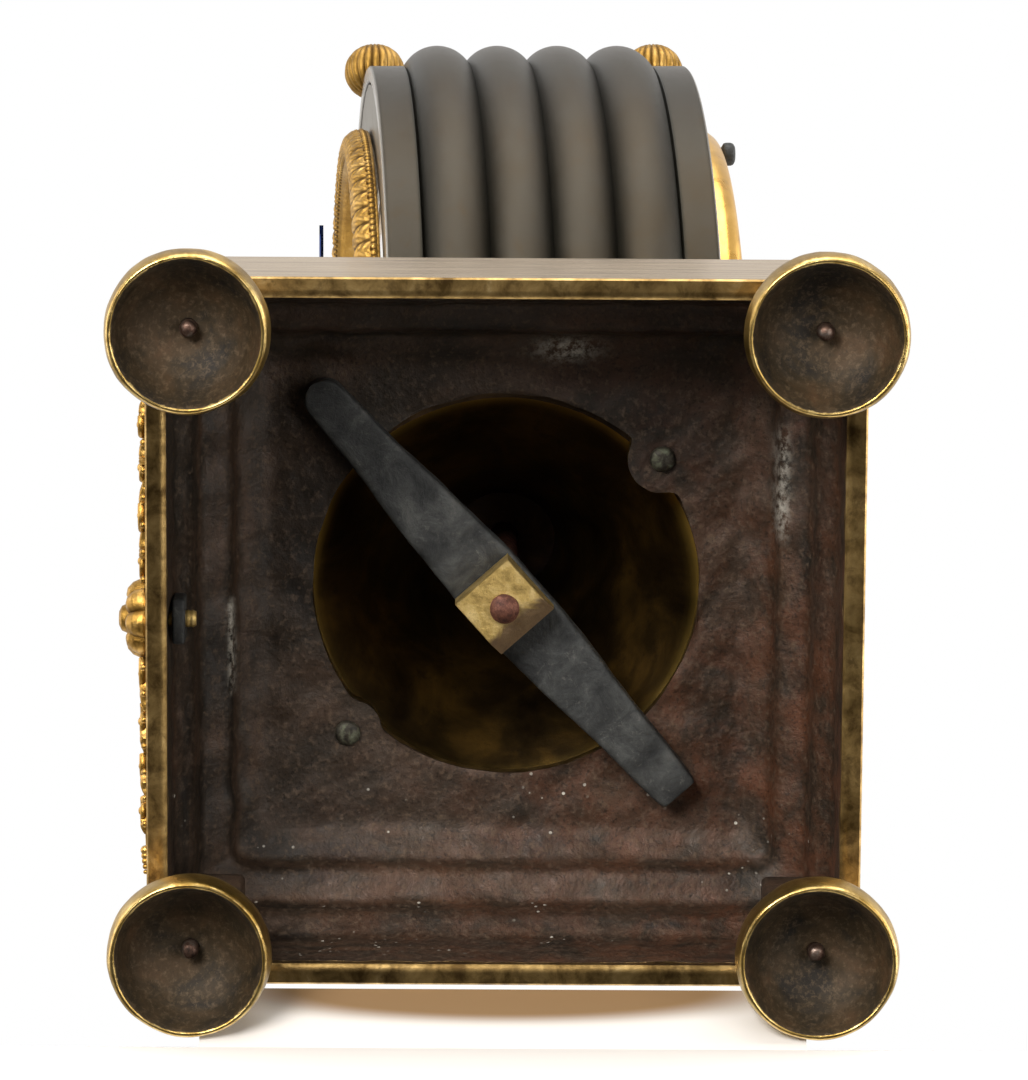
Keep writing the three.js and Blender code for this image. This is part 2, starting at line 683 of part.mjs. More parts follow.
// Suspension cock on the back plate, and the pendulum that hangs from its stud.
const suspension = union(
  box(-7, 7, backPlate[1] + GAP, 11.4, 45.4, 48.6),
  box(-2.4, 2.4, 11, 19.4, 45.6, 48),
  box(-2.4, 2.4, 18.2, 19.4, 40.4, 48),
  rodY(PIVOT, 12.8, 18.6, ...PALLET_AT, 12),
);
add(head, "suspension_cock", "brass", suspension);
const BOB_Z = -46;
const pendulum = union(
  rodY(2.6, 14, 16.2, ...PALLET_AT, 20),
  rodZ(0.8, BOB_Z, PALLET_AT[1] - 2, 0, 15.1, 12),
  turned([
    [0, 12.6],
    [5.6, 13.2],
    [10, 15.1],
    [5.6, 17],
    [0, 17.6],
  ], 24).translate([0, 0, BOB_Z]),
).subtract(rodY(PIVOT + GAP, 0, 50, ...PALLET_AT, 12));
add(head, "pendulum", "brass", pendulum);

// ---- motion work behind the dial, and the hands ----
const cannon = union(
  gear(8, MODULE, -26, -23.2, 180 / 8),
  rodY(2, -40.3, -23.2, 0, 0, 16),
).subtract(rodY(PIVOT + GAP, -50, 0, 0, 0, 12));
add(head, "cannon_pinion", "brass", cannon);
const stud = rodY(PIVOT, -29.4, frontPlate[0] - GAP, MINUTE_WHEEL_X, 0, 12);
add(head, "minute_wheel_stud", "steel", stud);
const minuteWheel = union(
  gear(24, MODULE, -25.4, -24.2, 180),
  gear(8, HOUR_MODULE, -28.6, -25.2, 180 + 180 / 8),
).translate([MINUTE_WHEEL_X, 0, 0]).subtract(rodY(PIVOT + GAP, -50, 0, MINUTE_WHEEL_X, 0, 12));
add(head, "minute_wheel", "brass", minuteWheel);
const hourWheel = union(gear(32, HOUR_MODULE, -28, -26.8, 0), rodY(3.1, -38.8, -26.8, 0, 0, 20))
  .subtract(rodY(2 + GAP, -50, 0, 0, 0, 16));
add(head, "hour_wheel", "brass", hourWheel);

// A hand lies along +Z from its hub: a slim blade with an open-looking swell before the point.
function hand(length, swell, y0, y1, bore, hub) {
  const outline = [
    [-0.7, 0],
    [-0.7, swell - 5],
    [-2.6, swell],
    [-0.9, swell + 4.4],
    [-0.35, length],
    [0.35, length],
    [0.9, swell + 4.4],
    [2.6, swell],
    [0.7, swell - 5],
    [0.7, 0],
  ];
  return union(plateY(outline.reverse(), y0, y1), rodY(hub, y0, y1)).subtract(rodY(bore, -50, 0, 0, 0, 16));
}
// An angle clockwise from twelve, as the dial's reader sees it.
const toHour = (body, degrees) =>
  solid(asGeometry(body).applyMatrix4(new THREE.Matrix4().makeRotationY(THREE.MathUtils.degToRad(degrees))));
const minuteHand = hand(48, 34, -41.4, -40.6, PIVOT + GAP, 3);
add(head, "minute_hand", "blued", toHour(minuteHand, 90));
const hourHand = hand(32, 21, -38.2, -37.4, 3.1 + GAP, 4.6);
add(head, "hour_hand", "blued", toHour(hourHand, 307.5));

export default clock;
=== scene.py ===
import json
import math

import bmesh
import bpy
import numpy as np
from mathutils import Matrix, Vector


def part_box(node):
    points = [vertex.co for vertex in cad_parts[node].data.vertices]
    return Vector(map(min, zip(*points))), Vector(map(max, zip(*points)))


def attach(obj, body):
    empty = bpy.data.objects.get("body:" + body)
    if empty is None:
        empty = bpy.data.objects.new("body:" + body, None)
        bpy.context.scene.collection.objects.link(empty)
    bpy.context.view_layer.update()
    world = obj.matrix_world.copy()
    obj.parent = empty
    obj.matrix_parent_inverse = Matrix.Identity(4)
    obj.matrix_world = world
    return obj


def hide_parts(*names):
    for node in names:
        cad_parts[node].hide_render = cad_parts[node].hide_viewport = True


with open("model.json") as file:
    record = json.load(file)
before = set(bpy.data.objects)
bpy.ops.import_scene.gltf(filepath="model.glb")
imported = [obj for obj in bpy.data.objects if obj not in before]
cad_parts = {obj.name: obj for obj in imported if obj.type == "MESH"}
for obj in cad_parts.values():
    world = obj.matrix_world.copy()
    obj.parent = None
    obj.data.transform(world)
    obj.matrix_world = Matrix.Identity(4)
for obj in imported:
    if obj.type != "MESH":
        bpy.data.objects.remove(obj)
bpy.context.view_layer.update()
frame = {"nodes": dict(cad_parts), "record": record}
scene = bpy.context.scene

# ---- camera ----
# The clock is looked at from below, into its open plinth, by a long lens a little
# to the +X side, so that the drum shows past the plinth's edge. Up in view is +X.
EYE = Vector((0.1719, -0.0047, -0.8983))
LENS = 185.67
TILT, YAW, ROLL = math.radians(9.675), math.radians(0.375), math.radians(0.323)
forward = Vector((-math.sin(TILT) * math.cos(YAW), math.sin(YAW), math.cos(TILT) * math.cos(YAW)))
level = Vector((0, 1, 0)) - forward.y * forward
level.normalize()
upright = level.cross(forward)
right = level * math.cos(ROLL) + upright * math.sin(ROLL)
upward = upright * math.cos(ROLL) - level * math.sin(ROLL)
camera_data = bpy.data.cameras.new("camera")
camera_data.lens = LENS
camera_data.clip_start = 0.01
camera = bpy.data.objects.new("camera", camera_data)
scene.collection.objects.link(camera)
camera.matrix_world = Matrix.Translation(EYE) @ Matrix((right, upward, -forward)).transposed().to_4x4()
scene.camera = camera
scene.view_settings.view_transform = "Standard"


# ---- studio: floor, table, white surround and soft boxes ----
# The floor is pale and shows only from above it, so it neither hides the clock nor shades
# it when the view is from below. There the clock rests on a white table on its -X side.
def linear(tone):
    """A tone written as #rrggbb made scene-linear: each channel to the power 2.2 or so."""
    parts = [int(tone[i : i + 2], 16) / 255 for i in (1, 3, 5)]
    return tuple(c / 12.92 if c < 0.04045 else ((c + 0.055) / 1.055) ** 2.4 for c in parts) + (1.0,)


def backdrop(name, corners, tone, middle, reach, painted_shadow=None):
    """A flat stage panel that only the camera sees, and only from its face side: paint near the middle, which
    turns to plain white light between one and two reaches away. Given a painted shadow's middle and half-size, the
    paint is brown in that oval and fades out evenly: a shadow painted where the clock shades the table."""
    panel = bpy.data.meshes.new(name)
    panel.from_pydata(corners, [], [(0, 1, 2, 3)])
    material = bpy.data.materials.new(name)
    material.use_nodes = True
    nodes, links = material.node_tree.nodes, material.node_tree.links
    nodes.clear()
    paint, glow, clear = (nodes.new("ShaderNode" + kind) for kind in ("BsdfDiffuse", "Emission", "BsdfTransparent"))
    paint.inputs["Color"].default_value = linear(tone)
    place, gap, fade = (nodes.new("ShaderNode" + kind) for kind in ("TexCoord", "VectorMath", "MapRange"))
    # painted shadow: a brown oval painted on the panel where the clock shades the table
    if painted_shadow:
        kinds = "Mapping", "VectorMath", "MapRange", "Mix"
        oval, length, brown, stain = (nodes.new("ShaderNode" + kind) for kind in kinds)
        oval.inputs["Location"].default_value = [-at / half for at, half in zip(*painted_shadow)]
        oval.inputs["Scale"].default_value = [1 / half for half in painted_shadow[1]]
        length.operation, brown.interpolation_type, stain.data_type = "LENGTH", "SMOOTHSTEP", "RGBA"
        for key, number in (("From Min", 0.6), ("From Max", 1.0), ("To Min", 1.0), ("To Max", 0.0)):
            brown.inputs[key].default_value = number
        stain.inputs[6].default_value, stain.inputs[7].default_value = linear(tone), linear("#7d6346")
        links.new(place.outputs["Object"], oval.inputs[0])
        links.new(oval.outputs[0], length.inputs[0])
        links.new(length.outputs["Value"], brown.inputs["Value"])
        links.new(brown.outputs[0], stain.inputs["Factor"])
        links.new(stain.outputs[2], paint.inputs["Color"])
    gap.operation, fade.interpolation_type = "DISTANCE", "SMOOTHSTEP"
    gap.inputs[1].default_value = middle
    fade.inputs["From Min"].default_value = reach
    fade.inputs["From Max"].default_value = 2 * reach
    links.new(place.outputs["Object"], gap.inputs[0])
    links.new(gap.outputs["Value"], fade.inputs["Value"])
    surface, shown = nodes.new("ShaderNodeMixShader"), nodes.new("ShaderNodeMixShader")
    for socket, shader in zip(surface.inputs, (fade, paint, glow)):
        links.new(shader.outputs[0], socket)
    rays, side = nodes.new("ShaderNodeLightPath"), nodes.new("ShaderNodeNewGeometry")
    front, seen = nodes.new("ShaderNodeMath"), nodes.new("ShaderNodeMath")
    front.operation, seen.operation = "SUBTRACT", "MULTIPLY"
    front.inputs[0].default_value = 1
    links.new(side.outputs["Backfacing"], front.inputs[1])
    links.new(front.outputs[0], seen.inputs[0])
    links.new(rays.outputs["Is Camera Ray"], seen.inputs[1])
    for socket, shader in zip(shown.inputs, (seen, clear, surface)):
        links.new(shader.outputs[0], socket)
    links.new(shown.outputs[0], nodes.new("ShaderNodeOutputMaterial").inputs["Surface"])
    panel.materials.append(material)
    made = bpy.data.objects.new(name, panel)
    scene.collection.objects.link(made)


backdrop(
    "floor", [(-4, -4, -0.0003), (4, -4, -0.0003), (4, 4, -0.0003), (-4, 4, -0.0003)], "#ececea", (0, 0, 0), 0.22,
)
TABLE_FOOT, TABLE_SLOPE = -0.0668, -0.0878
near, far = -0.9, -0.0012
backdrop(
    "table",
    [
        (TABLE_FOOT + TABLE_SLOPE * near, -1.5, near),
        (TABLE_FOOT + TABLE_SLOPE * near, 1.5, near),
        (TABLE_FOOT + TABLE_SLOPE * far, 1.5, far),
        (TABLE_FOOT + TABLE_SLOPE * far, -1.5, far),
    ],
    "#d2ccc5",
    (TABLE_FOOT, 0, 0.0),
    0.085,
)
# A strip of table under the plinth's rim, between the feet, with a brown shadow painted on it: painted shadow under
# the clock.
shade_low, shade_high = (TABLE_FOOT, far), (-0.0606, 0.0146)
backdrop(
    "table_shade",
    [
        (shade_low[0], -0.0505, shade_low[1]),
        (shade_low[0], 0.0505, shade_low[1]),
        (shade_high[0], 0.0505, shade_high[1]),
        (shade_high[0], -0.0505, shade_high[1]),
    ],
    "#d2ccc5",
    (TABLE_FOOT, 0, 0.0),
    0.085,
    ((TABLE_FOOT, 0, shade_high[1]), (1, 0.056, 0.0105)),
)

world = bpy.data.worlds.new("studio")
scene.world = world
world.use_nodes = True
nodes, links = world.node_tree.nodes, world.node_tree.links
nodes.clear()
white, around = nodes.new("ShaderNodeBackground"), nodes.new("ShaderNodeBackground")
white.inputs["Color"].default_value = (1, 1, 1, 1)
around.inputs["Color"].default_value = (1, 0.985, 0.96, 1)
direction, parts = nodes.new("ShaderNodeTexCoord"), nodes.new("ShaderNodeSeparateXYZ")
height = nodes.new("ShaderNodeMapRange")
height.inputs["From Min"].default_value = -0.75
height.inputs["From Max"].default_value = 0.35
height.inputs["To Min"].default_value = 0.05
height.inputs["To Max"].default_value = 0.85
links.new(direction.outputs["Generated"], parts.inputs[0])
links.new(parts.outputs["Z"], height.inputs["Value"])
links.new(height.outputs[0], around.inputs["Strength"])
rays, shown = nodes.new("ShaderNodeLightPath"), nodes.new("ShaderNodeMath")
shown.operation = "MAXIMUM"
links.new(rays.outputs["Is Camera Ray"], shown.inputs[0])
links.new(rays.outputs["Is Transmission Ray"], shown.inputs[1])
mixed, output = nodes.new("ShaderNodeMixShader"), nodes.new("ShaderNodeOutputWorld")
links.new(shown.outputs[0], mixed.inputs[0])
links.new(around.outputs[0], mixed.inputs[1])
links.new(white.outputs[0], mixed.inputs[2])
links.new(mixed.outputs[0], output.inputs["Surface"])

AIM = Vector((0, 0, 0.12))
for name, place, size, watts in (
    ("key_from_below", (0.75, -0.55, -0.85), 0.6, 23),
    ("top_side", (1.2, 0.1, 0.25), 1.1, 19),
    ("front_side", (0.15, -1.2, 0.45), 1.0, 8),
    ("rear_side", (0.1, 1.2, 0.4), 1.0, 14),
    ("fill_from_below", (0.25, 0.8, -0.8), 0.7, 7),
    ("table_bounce", (-1.1, 0.0, 0.15), 1.2, 7),
):
    lamp = bpy.data.lights.new(name, "AREA")
    lamp.size = size
    lamp.energy = watts
    box_light = bpy.data.objects.new(name, lamp)
    scene.collection.objects.link(box_light)
    box_light.visible_camera = False
    away = (Vector(place) - AIM).to_track_quat("Z", "Y").to_matrix().to_4x4()
    box_light.matrix_world = Matrix.Translation(place) @ away


# ---- plinth ----
# A square cast bronze box, open below, with a stepped moulding and a plate on top. The casting
# is rough and brown inside, and its rim and outer faces are filed and polished bare.
class Finish:
    """A procedural finish: patterns on a piece's own Object coordinates feed one Principled shader."""

    def __init__(self, name):
        self.material = bpy.data.materials.new(name)
        self.material.use_nodes = True
        self.nodes, self.links = self.material.node_tree.nodes, self.material.node_tree.links
        self.nodes.clear()
        self.shader = self.add("BsdfPrincipled")
        self.link(self.shader.outputs[0], self.add("OutputMaterial").inputs["Surface"])
        self.where = self.add("TexCoord").outputs["Object"]

    def add(self, kind, **settings):
        node = self.nodes.new("ShaderNode" + kind)
        for key, value in settings.items():
            setattr(node, key, value)
        return node

    def link(self, value, socket):
        if isinstance(value, bpy.types.NodeSocket):
            self.links.new(value, socket)
        elif isinstance(value, str):
            socket.default_value = linear(value)
        else:
            socket.default_value = value

    def placed(self, scale=(1, 1, 1), turn=(0, 0, 0), shift=(0, 0, 0), source=None):
        """Coordinates scaled, then turned, then shifted."""
        node = self.add("Mapping")
        self.link(source or self.where, node.inputs["Vector"])
        node.inputs["Scale"].default_value = scale
        node.inputs["Rotation"].default_value = turn
        node.inputs["Location"].default_value = shift
        return node.outputs[0]

    def noise(self, size, detail=3.0, rough=0.5, warp=0.0, source=None):
        """Soft noise whose lumps are about size millimetres across."""
        node = self.add("TexNoise")
        self.link(source or self.where, node.inputs["Vector"])
        node.inputs["Scale"].default_value = 1000 / size
        node.inputs["Detail"].default_value = detail
        node.inputs["Roughness"].default_value = rough
        node.inputs["Distortion"].default_value = warp
        return node.outputs[0]

    def cells(self, size):
        """Distance to the nearest of scattered points that lie about size millimetres apart."""
        node = self.add("TexVoronoi")
        self.link(self.where, node.inputs["Vector"])
        node.inputs["Scale"].default_value = 1000 / size
        return node.outputs["Distance"]

    def mark(self, name):
        """A number that the piece's mesh carries at each point."""
        return self.add("Attribute", attribute_name=name).outputs["Fac"]

    def vector(self, name):
        """A vector that the piece's mesh carries at each point."""
        return self.add("Attribute", attribute_name=name).outputs["Vector"]

    def span(self, value, low, high, start=0.0, end=1.0):
        """value from low to high carried to start to end, and held at both ends."""
        node = self.add("MapRange")
        self.link(value, node.inputs["Value"])
        for key, number in zip(("From Min", "From Max", "To Min", "To Max"), (low, high, start, end)):
            node.inputs[key].default_value = number
        return node.outputs[0]

    def maths(self, operation, a, b=0.0):
        node = self.add("Math", operation=operation)
        self.link(a, node.inputs[0])
        self.link(b, node.inputs[1])
        return node.outputs[0]

    def times(self, a, b):
        return self.maths("MULTIPLY", a, b)

    def tones(self, value, *stops):
        """Tones at places along value."""
        node = self.add("ValToRGB")
        self.link(value, node.inputs[0])
        band = node.color_ramp.elements
        while len(band) < len(stops):
            band.new(0.5)
        for element, (place, tone) in zip(band, stops):
            element.position = place
            element.color = linear(tone)
        return node.outputs[0]

    def mix(self, share, a, b):
        node = self.add("Mix", data_type="RGBA")
        self.link(share, node.inputs["Factor"])
        self.link(a, node.inputs[6])
        self.link(b, node.inputs[7])
        return node.outputs[2]

    def blend(self, share, a, b):
        """Two numbers mixed."""
        node = self.add("Mix", data_type="FLOAT")
        self.link(share, node.inputs["Factor"])
        self.link(a, node.inputs[2])
        self.link(b, node.inputs[3])
        return node.outputs[0]

    def relief(self, *layers):
        """Bumps, each of (height pattern, depth in millimetres), one over the other."""
        normal = None
        for height, depth in layers:
            node = self.add("Bump")
            self.link(height, node.inputs["Height"])
            node.inputs["Distance"].default_value = depth * 0.001
            if normal is not None:
                self.link(normal, node.inputs["Normal"])
            normal = node.outputs[0]
        self.link(normal, self.shader.inputs["Normal"])

    def shade(self, **sockets):
        for key, value in sockets.items():
            self.link(value, self.shader.inputs[key.replace("_", " ")])
        return self.material


def skin(name, patches, material, sharp=35, **marks):
    """One mesh from patches of (points, rows_join, columns_join), points being a grid in millimetres. Each
    cell is a quad, and a joined side runs back to its start. Poles and seams are then merged and faces turned out."""
    points, quads, base = [], [], 0
    for grid, rows_join, columns_join in patches:
        rows, columns = grid.shape[:2]
        index = np.arange(rows * columns).reshape(rows, columns) + base
        if rows_join:
            index = np.vstack([index, index[:1]])
        if columns_join:
            index = np.hstack([index, index[:, :1]])
        cell = [index[:-1, :-1], index[1:, :-1], index[1:, 1:], index[:-1, 1:]]
        quads.append(np.stack(cell, -1).reshape(-1, 4))
        points.append(grid.reshape(-1, 3))
        base += rows * columns
    points, quads = np.concatenate(points) * 0.001, np.concatenate(quads)
    mesh = bpy.data.meshes.new(name)
    mesh.vertices.add(len(points))
    mesh.vertices.foreach_set("co", points.astype(np.float32).ravel())
    mesh.loops.add(quads.size)
    mesh.loops.foreach_set("vertex_index", quads.astype(np.int32).ravel())
    mesh.polygons.add(len(quads))
    mesh.polygons.foreach_set("loop_start", np.arange(0, quads.size, 4, dtype=np.int32))
    for key, values in marks.items():
        kind = "FLOAT_VECTOR" if values.ndim > 1 else "FLOAT"
        carried = mesh.attributes.new(key, kind, "POINT")
        carried.data.foreach_set("vector" if values.ndim > 1 else "value", values.astype(np.float32).ravel())
    mesh.update(calc_edges=True)
    work = bmesh.new()
    work.from_mesh(mesh)
    bmesh.ops.remove_doubles(work, verts=work.verts, dist=2e-6)
    bmesh.ops.recalc_face_normals(work, faces=work.faces)
    work.to_mesh(mesh)
    work.free()
    mesh.materials.append(material)
    mesh.shade_smooth()
    mesh.set_sharp_from_angle(angle=math.radians(sharp))
    made = bpy.data.objects.new(name, mesh)
    scene.collection.objects.link(made)
    return made


def piece(made, body, slot, *nodes):
    """The made mesh rides on body and stands for the CAD nodes, which it hides; slot is not used."""
    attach(made, body)
    if nodes:
        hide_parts(*nodes)
    return made


def lumps(points, size, seed):
    """Smooth random height from -1 to 1: eight sine waves of random direction and about size millimetres long,
    averaged."""
    chance = np.random.default_rng(seed)
    waves = chance.normal(size=(8, 3))
    waves *= (2 * np.pi / size) * chance.uniform(0.6, 1.6, (8, 1)) / np.linalg.norm(waves, axis=1, keepdims=True)
    phase = chance.uniform(0, 2 * np.pi, 8)
    return np.sin(points @ waves.T + phase).mean(-1) * 1.8


def facing(grid, rows_join, columns_join):
    """The unit normal of a grid at each point: the cross product of its steps along both parameters."""

    def step(axis, join):
        if join:
            return np.roll(grid, -1, axis) - np.roll(grid, 1, axis)
        return np.gradient(grid, axis=axis)

    cross = np.cross(step(0, rows_join), step(1, columns_join))
    return cross / np.maximum(np.linalg.norm(cross, axis=-1, keepdims=True), 1e-9)


def traced(corners, gap):
    """Points about gap apart along straight runs between corners, each corner kept."""
    out = []
    for a, b in zip(corners[:-1], corners[1:]):
        a, b = np.array(a, float), np.array(b, float)
        count = max(1, int(np.ceil(np.linalg.norm((b - a)[:2]) / gap)))
        out.append(a + (b - a) * np.linspace(0, 1, count, endpoint=False)[:, None])
    return np.vstack(out + [np.array(corners[-1:], float)])


def box_mm(node):
    """The low and high corners of a CAD node's box, in millimetres."""
    return (np.array(corner) * 1000 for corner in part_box(node))


PLINTH_LOW, PLINTH_HIGH = box_mm("plinth")
HALF, RIM_Z, TOP_Z = PLINTH_HIGH[0], PLINTH_LOW[2], PLINTH_HIGH[2]
PLATE_Z = TOP_Z - 3.5
WALL = 3.5
PLATE_HALF = 41
BAND_TOP = 43.2
CORNER_STEPS, SIDE_STEPS = 8, 92
HOLE_AT, HOLE_R, EAR_R = np.array([2.1, 0.3]), 33.5, 6.0
rivet_boxes = [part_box(f"pedestal_rivet_{i}") for i in (1, 2)]
rivet_at = [np.array((low + high) / 2)[:2] * 1000 for low, high in rivet_boxes]


def square_loop(half, radius):
    """Points round a square of that half-width with rounded corners, the same count for every size: an eighth
    arc, a side and an eighth arc, four times."""
    arc = np.linspace(-45, 0, CORNER_STEPS, endpoint=False)
    side = np.linspace(-1, 1, SIDE_STEPS + 1)
    after = np.linspace(0, 45, CORNER_STEPS + 1)[1:-1]
    inner = half - radius
    turn = np.radians(np.concatenate([arc, np.zeros(len(side)), after]))
    along = np.concatenate([-np.ones(len(arc)), side, np.ones(len(after))])
    quarter = np.stack([inner + radius * np.cos(turn), inner * along + radius * np.sin(turn)], -1)
    quarters = np.radians([0, 90, 180, 270])
    spin = [np.array([[math.cos(a), math.sin(a)], [-math.sin(a), math.cos(a)]]) for a in quarters]
    return np.vstack([quarter @ s for s in spin])


def hole_loop(loop):
    """The plate hole's edge towards each point of a loop: a circle, drawn in where an ear surrounds a rivet."""
    way = loop - HOLE_AT
    way = way / np.linalg.norm(way, axis=1, keepdims=True)
    reach = np.full(len(loop), HOLE_R)
    for at in rivet_at:
        to = at - HOLE_AT
        along = way @ to
        off = EAR_R**2 - (to @ to - along**2)
        ear = np.where((off > 0) & (along > 0), along - np.sqrt(np.maximum(off, 0)), HOLE_R)
        reach = np.minimum(reach, ear)
    for _ in range(3):
        reach = (np.roll(reach, 1) + 2 * reach + np.roll(reach, -1)) / 4
    return HOLE_AT + way * reach[:, None]


# corners of the wall's section: half-width, height, share of the way from the square to the hole
cast_side = [
    (PLATE_HALF, PLATE_Z, 1), (PLATE_HALF, PLATE_Z, 0), (46.4, 49, 0), (47, 45.5, 0), (52.4, 43, 0), (53, 38, 0),
    (56.5, 34, 0), (56.5, RIM_Z + 0.5, 0),
]
cove = [(57.6 + 9.2 * math.cos(a), 54.1 + 9.2 * math.sin(a), 0) for a in np.radians(np.linspace(268, 182, 12))]
filed_side = [
    (57.1, RIM_Z, 0), (59.7, RIM_Z, 0), (HALF, RIM_Z + 0.3, 0), (HALF, BAND_TOP, 0), (59.6, 43.5, 0),
    (57.8, 44.1, 0), (57.8, 45.4, 0), *cove, (48.3, 54.6, 0), (47.6, TOP_Z, 0), (PLATE_HALF, TOP_Z, 0),
    (PLATE_HALF, TOP_Z, 1),
]


def plate_run(share_from, share_to, z, count):
    """Section points across the flat plate between the square and the hole."""
    return [(PLATE_HALF, z, s) for s in np.linspace(share_from, share_to, count)]


section = np.vstack([
    plate_run(1, 0, PLATE_Z, 18)[:-1],
    traced(cast_side[1:], 0.75),
    traced(filed_side[:-2], 0.9),
    plate_run(0, 1, TOP_Z, 8),
    [(PLATE_HALF, TOP_Z - 1.6, 1)],
])
cast = np.zeros(len(section))
cast[: 18 + len(traced(cast_side[1:], 0.75)) - 4] = 1
for _ in range(4):
    eased = (np.roll(section, 1, 0) + 2 * section + np.roll(section, -1, 0)) / 4
    section[2:-2] = np.where(cast[2:-2, None] > 0, eased[2:-2], section[2:-2])
columns = []
for half_width, z, share in section:
    inside = half_width < HALF - WALL + 0.2 and z < TOP_Z - 1
    loop = square_loop(half_width, 3.2 if inside else 0.35)
    flat = loop * (1 - share) + hole_loop(loop) * share
    columns.append(np.column_stack([flat, np.full(len(flat), z)]))
wall = np.stack(columns, 1)
outward = facing(wall, True, True)
rough_cast = np.convolve(cast, np.ones(3) / 3, "same")[None, :, None]
wall = wall + outward * rough_cast * (0.32 * lumps(wall, 11, 3) + 0.10 * lumps(wall, 3.4, 4))[..., None]
x, y, z = wall[..., 0], wall[..., 1], wall[..., 2]
bare = np.broadcast_to(1 - cast, x.shape).astype(float)
reach_out = np.maximum(np.abs(x), np.abs(y))
planed = np.clip((reach_out - HALF + 0.35) / 0.3, 0, 1) * (z > RIM_Z + 0.4) * (z < 43.6)
inner_side = np.broadcast_to(cast[None], x.shape)
dusty = (x < -30) * inner_side
# The inner walls towards +Y and -X, where the light falls, are painted redder and lighter: red patina, partly painted
# light.
lit_walls_warmth = np.clip(0.25 + 0.009 * y - 0.004 * x, 0, 1) * inner_side
patch_of_lime = np.exp(-((x - 43.5) ** 2) / 3.5 - ((y - 10.5) ** 2) / 22)
dust_left = np.exp(-(((y + 47) / 0.5) ** 2)) * np.clip((9 - np.abs(x + 8)) / 2, 0, 1)
dust_right = np.exp(-(((y - 47.5) / 1.1) ** 2)) * np.clip((11 - np.abs(x - 21)) / 4, 0, 1) * 0.75
residue = np.clip(patch_of_lime + dust_left + dust_right, 0, 1) * inner_side
bronze = Finish("cast_bronze")
blotch = bronze.noise(19, 5, 0.6, 0.5)
streak = bronze.noise(2.2, 5, 0.62, 0.1, bronze.placed(scale=(0.07, 0.07, 1)))
mottle = bronze.maths("ADD", bronze.times(streak, 0.55), bronze.times(blotch, 0.45))
brown = bronze.tones(mottle, (0.38, "#1e170f"), (0.46, "#30251a"), (0.54, "#3f2f22"), (0.64, "#4c3625"))
# Red patina patches, stronger on the walls that the light falls on: partly painted light.
red_patches_where_lit = bronze.times(
    bronze.mark("lit_walls_warmth"), bronze.span(bronze.noise(8, 5, 0.6, 0.4, bronze.placed(shift=(3, 1, 2))), 0.40, 0.66),
)
brown = bronze.mix(bronze.times(red_patches_where_lit, 0.9), brown, "#643c26")
grey = bronze.span(bronze.noise(16, 4, 0.55, 0.5, bronze.placed(scale=(0.4, 0.4, 1), shift=(7, 4, 1))), 0.50, 0.68)
brown = bronze.mix(bronze.times(grey, 0.55), brown, "#38322a")
fine = bronze.noise(1.1, 4, 0.6)
brown = bronze.mix(bronze.span(fine, 0.52, 0.70, 0, 0.5), brown, "#665341")
brown = bronze.mix(bronze.span(bronze.noise(0.7, 3, 0.6), 0.54, 0.68, 0, 0.6), brown, "#17110b")
speck = bronze.span(bronze.cells(2.1), 0.10, 0.16, 1, 0)
speck = bronze.times(speck, bronze.span(bronze.noise(13, 3, 0.6), 0.54, 0.62))
speck = bronze.times(speck, bronze.mark("dusty"))
chalk = bronze.times(bronze.mark("residue"), bronze.span(bronze.noise(1.6, 5, 0.75), 0.42, 0.60))
dust = bronze.maths("MAXIMUM", speck, chalk)
brown = bronze.mix(dust, brown, "#b9b2a4")
scratch = bronze.noise(0.8, 4, 0.62, 0, bronze.placed(scale=(0.035, 0.035, 1)))
filed_rim = bronze.tones(
    bronze.noise(4.2, 5, 0.64, 0.4), (0.32, "#5c4727"), (0.47, "#8c7144"), (0.62, "#aa8c58"), (0.78, "#c6ab78"),
)
tarnish = bronze.span(bronze.noise(3.4, 5, 0.68, 0.3), 0.52, 0.66)
filed_rim = bronze.mix(bronze.times(tarnish, 0.6), filed_rim, "#4d3921")
planed_side = bronze.tones(scratch, (0.34, "#94784c"), (0.46, "#b0946a"), (0.64, "#c2a882"))
planed_side = bronze.mix(bronze.span(bronze.noise(22, 4, 0.6), 0.52, 0.72, 0, 0.4), planed_side, "#8f7247")
bright = bronze.mix(bronze.mark("planed"), filed_rim, planed_side)
creep = bronze.maths("ADD", bronze.mark("bare"), bronze.span(bronze.noise(2.6, 4, 0.6), 0.35, 0.65, -0.25, 0.25))
shown_bare = bronze.span(creep, 0.42, 0.62)
ripple = bronze.times(bronze.noise(4.5, 6, 0.65, 0.3), bronze.blend(shown_bare, 1.0, 0.2))
bronze.relief((ripple, 0.35), (bronze.times(fine, bronze.blend(shown_bare, 1.0, 0.15)), 0.12), (scratch, 0.012))
filed_rough = bronze.blend(bronze.mark("planed"), bronze.span(scratch, 0.3, 0.7, 0.30, 0.46), 0.24)
cast_bronze = bronze.shade(
    Base_Color=bronze.mix(shown_bare, brown, bright),
    Metallic=bronze.blend(shown_bare, 0.5, 1.0),
    Roughness=bronze.blend(shown_bare, bronze.span(fine, 0.3, 0.7, 0.46, 0.68), filed_rough),
)
plinth_marks = {"bare": bare, "planed": planed, "dusty": dusty, "lit_walls_warmth": lit_walls_warmth, "residue": residue}
made = skin(
    "plinth_casting", [(wall, True, True)], cast_bronze, 40,
    **{key: mark.ravel() for key, mark in plinth_marks.items()},
)
piece(made, "case", "bronze", "plinth")


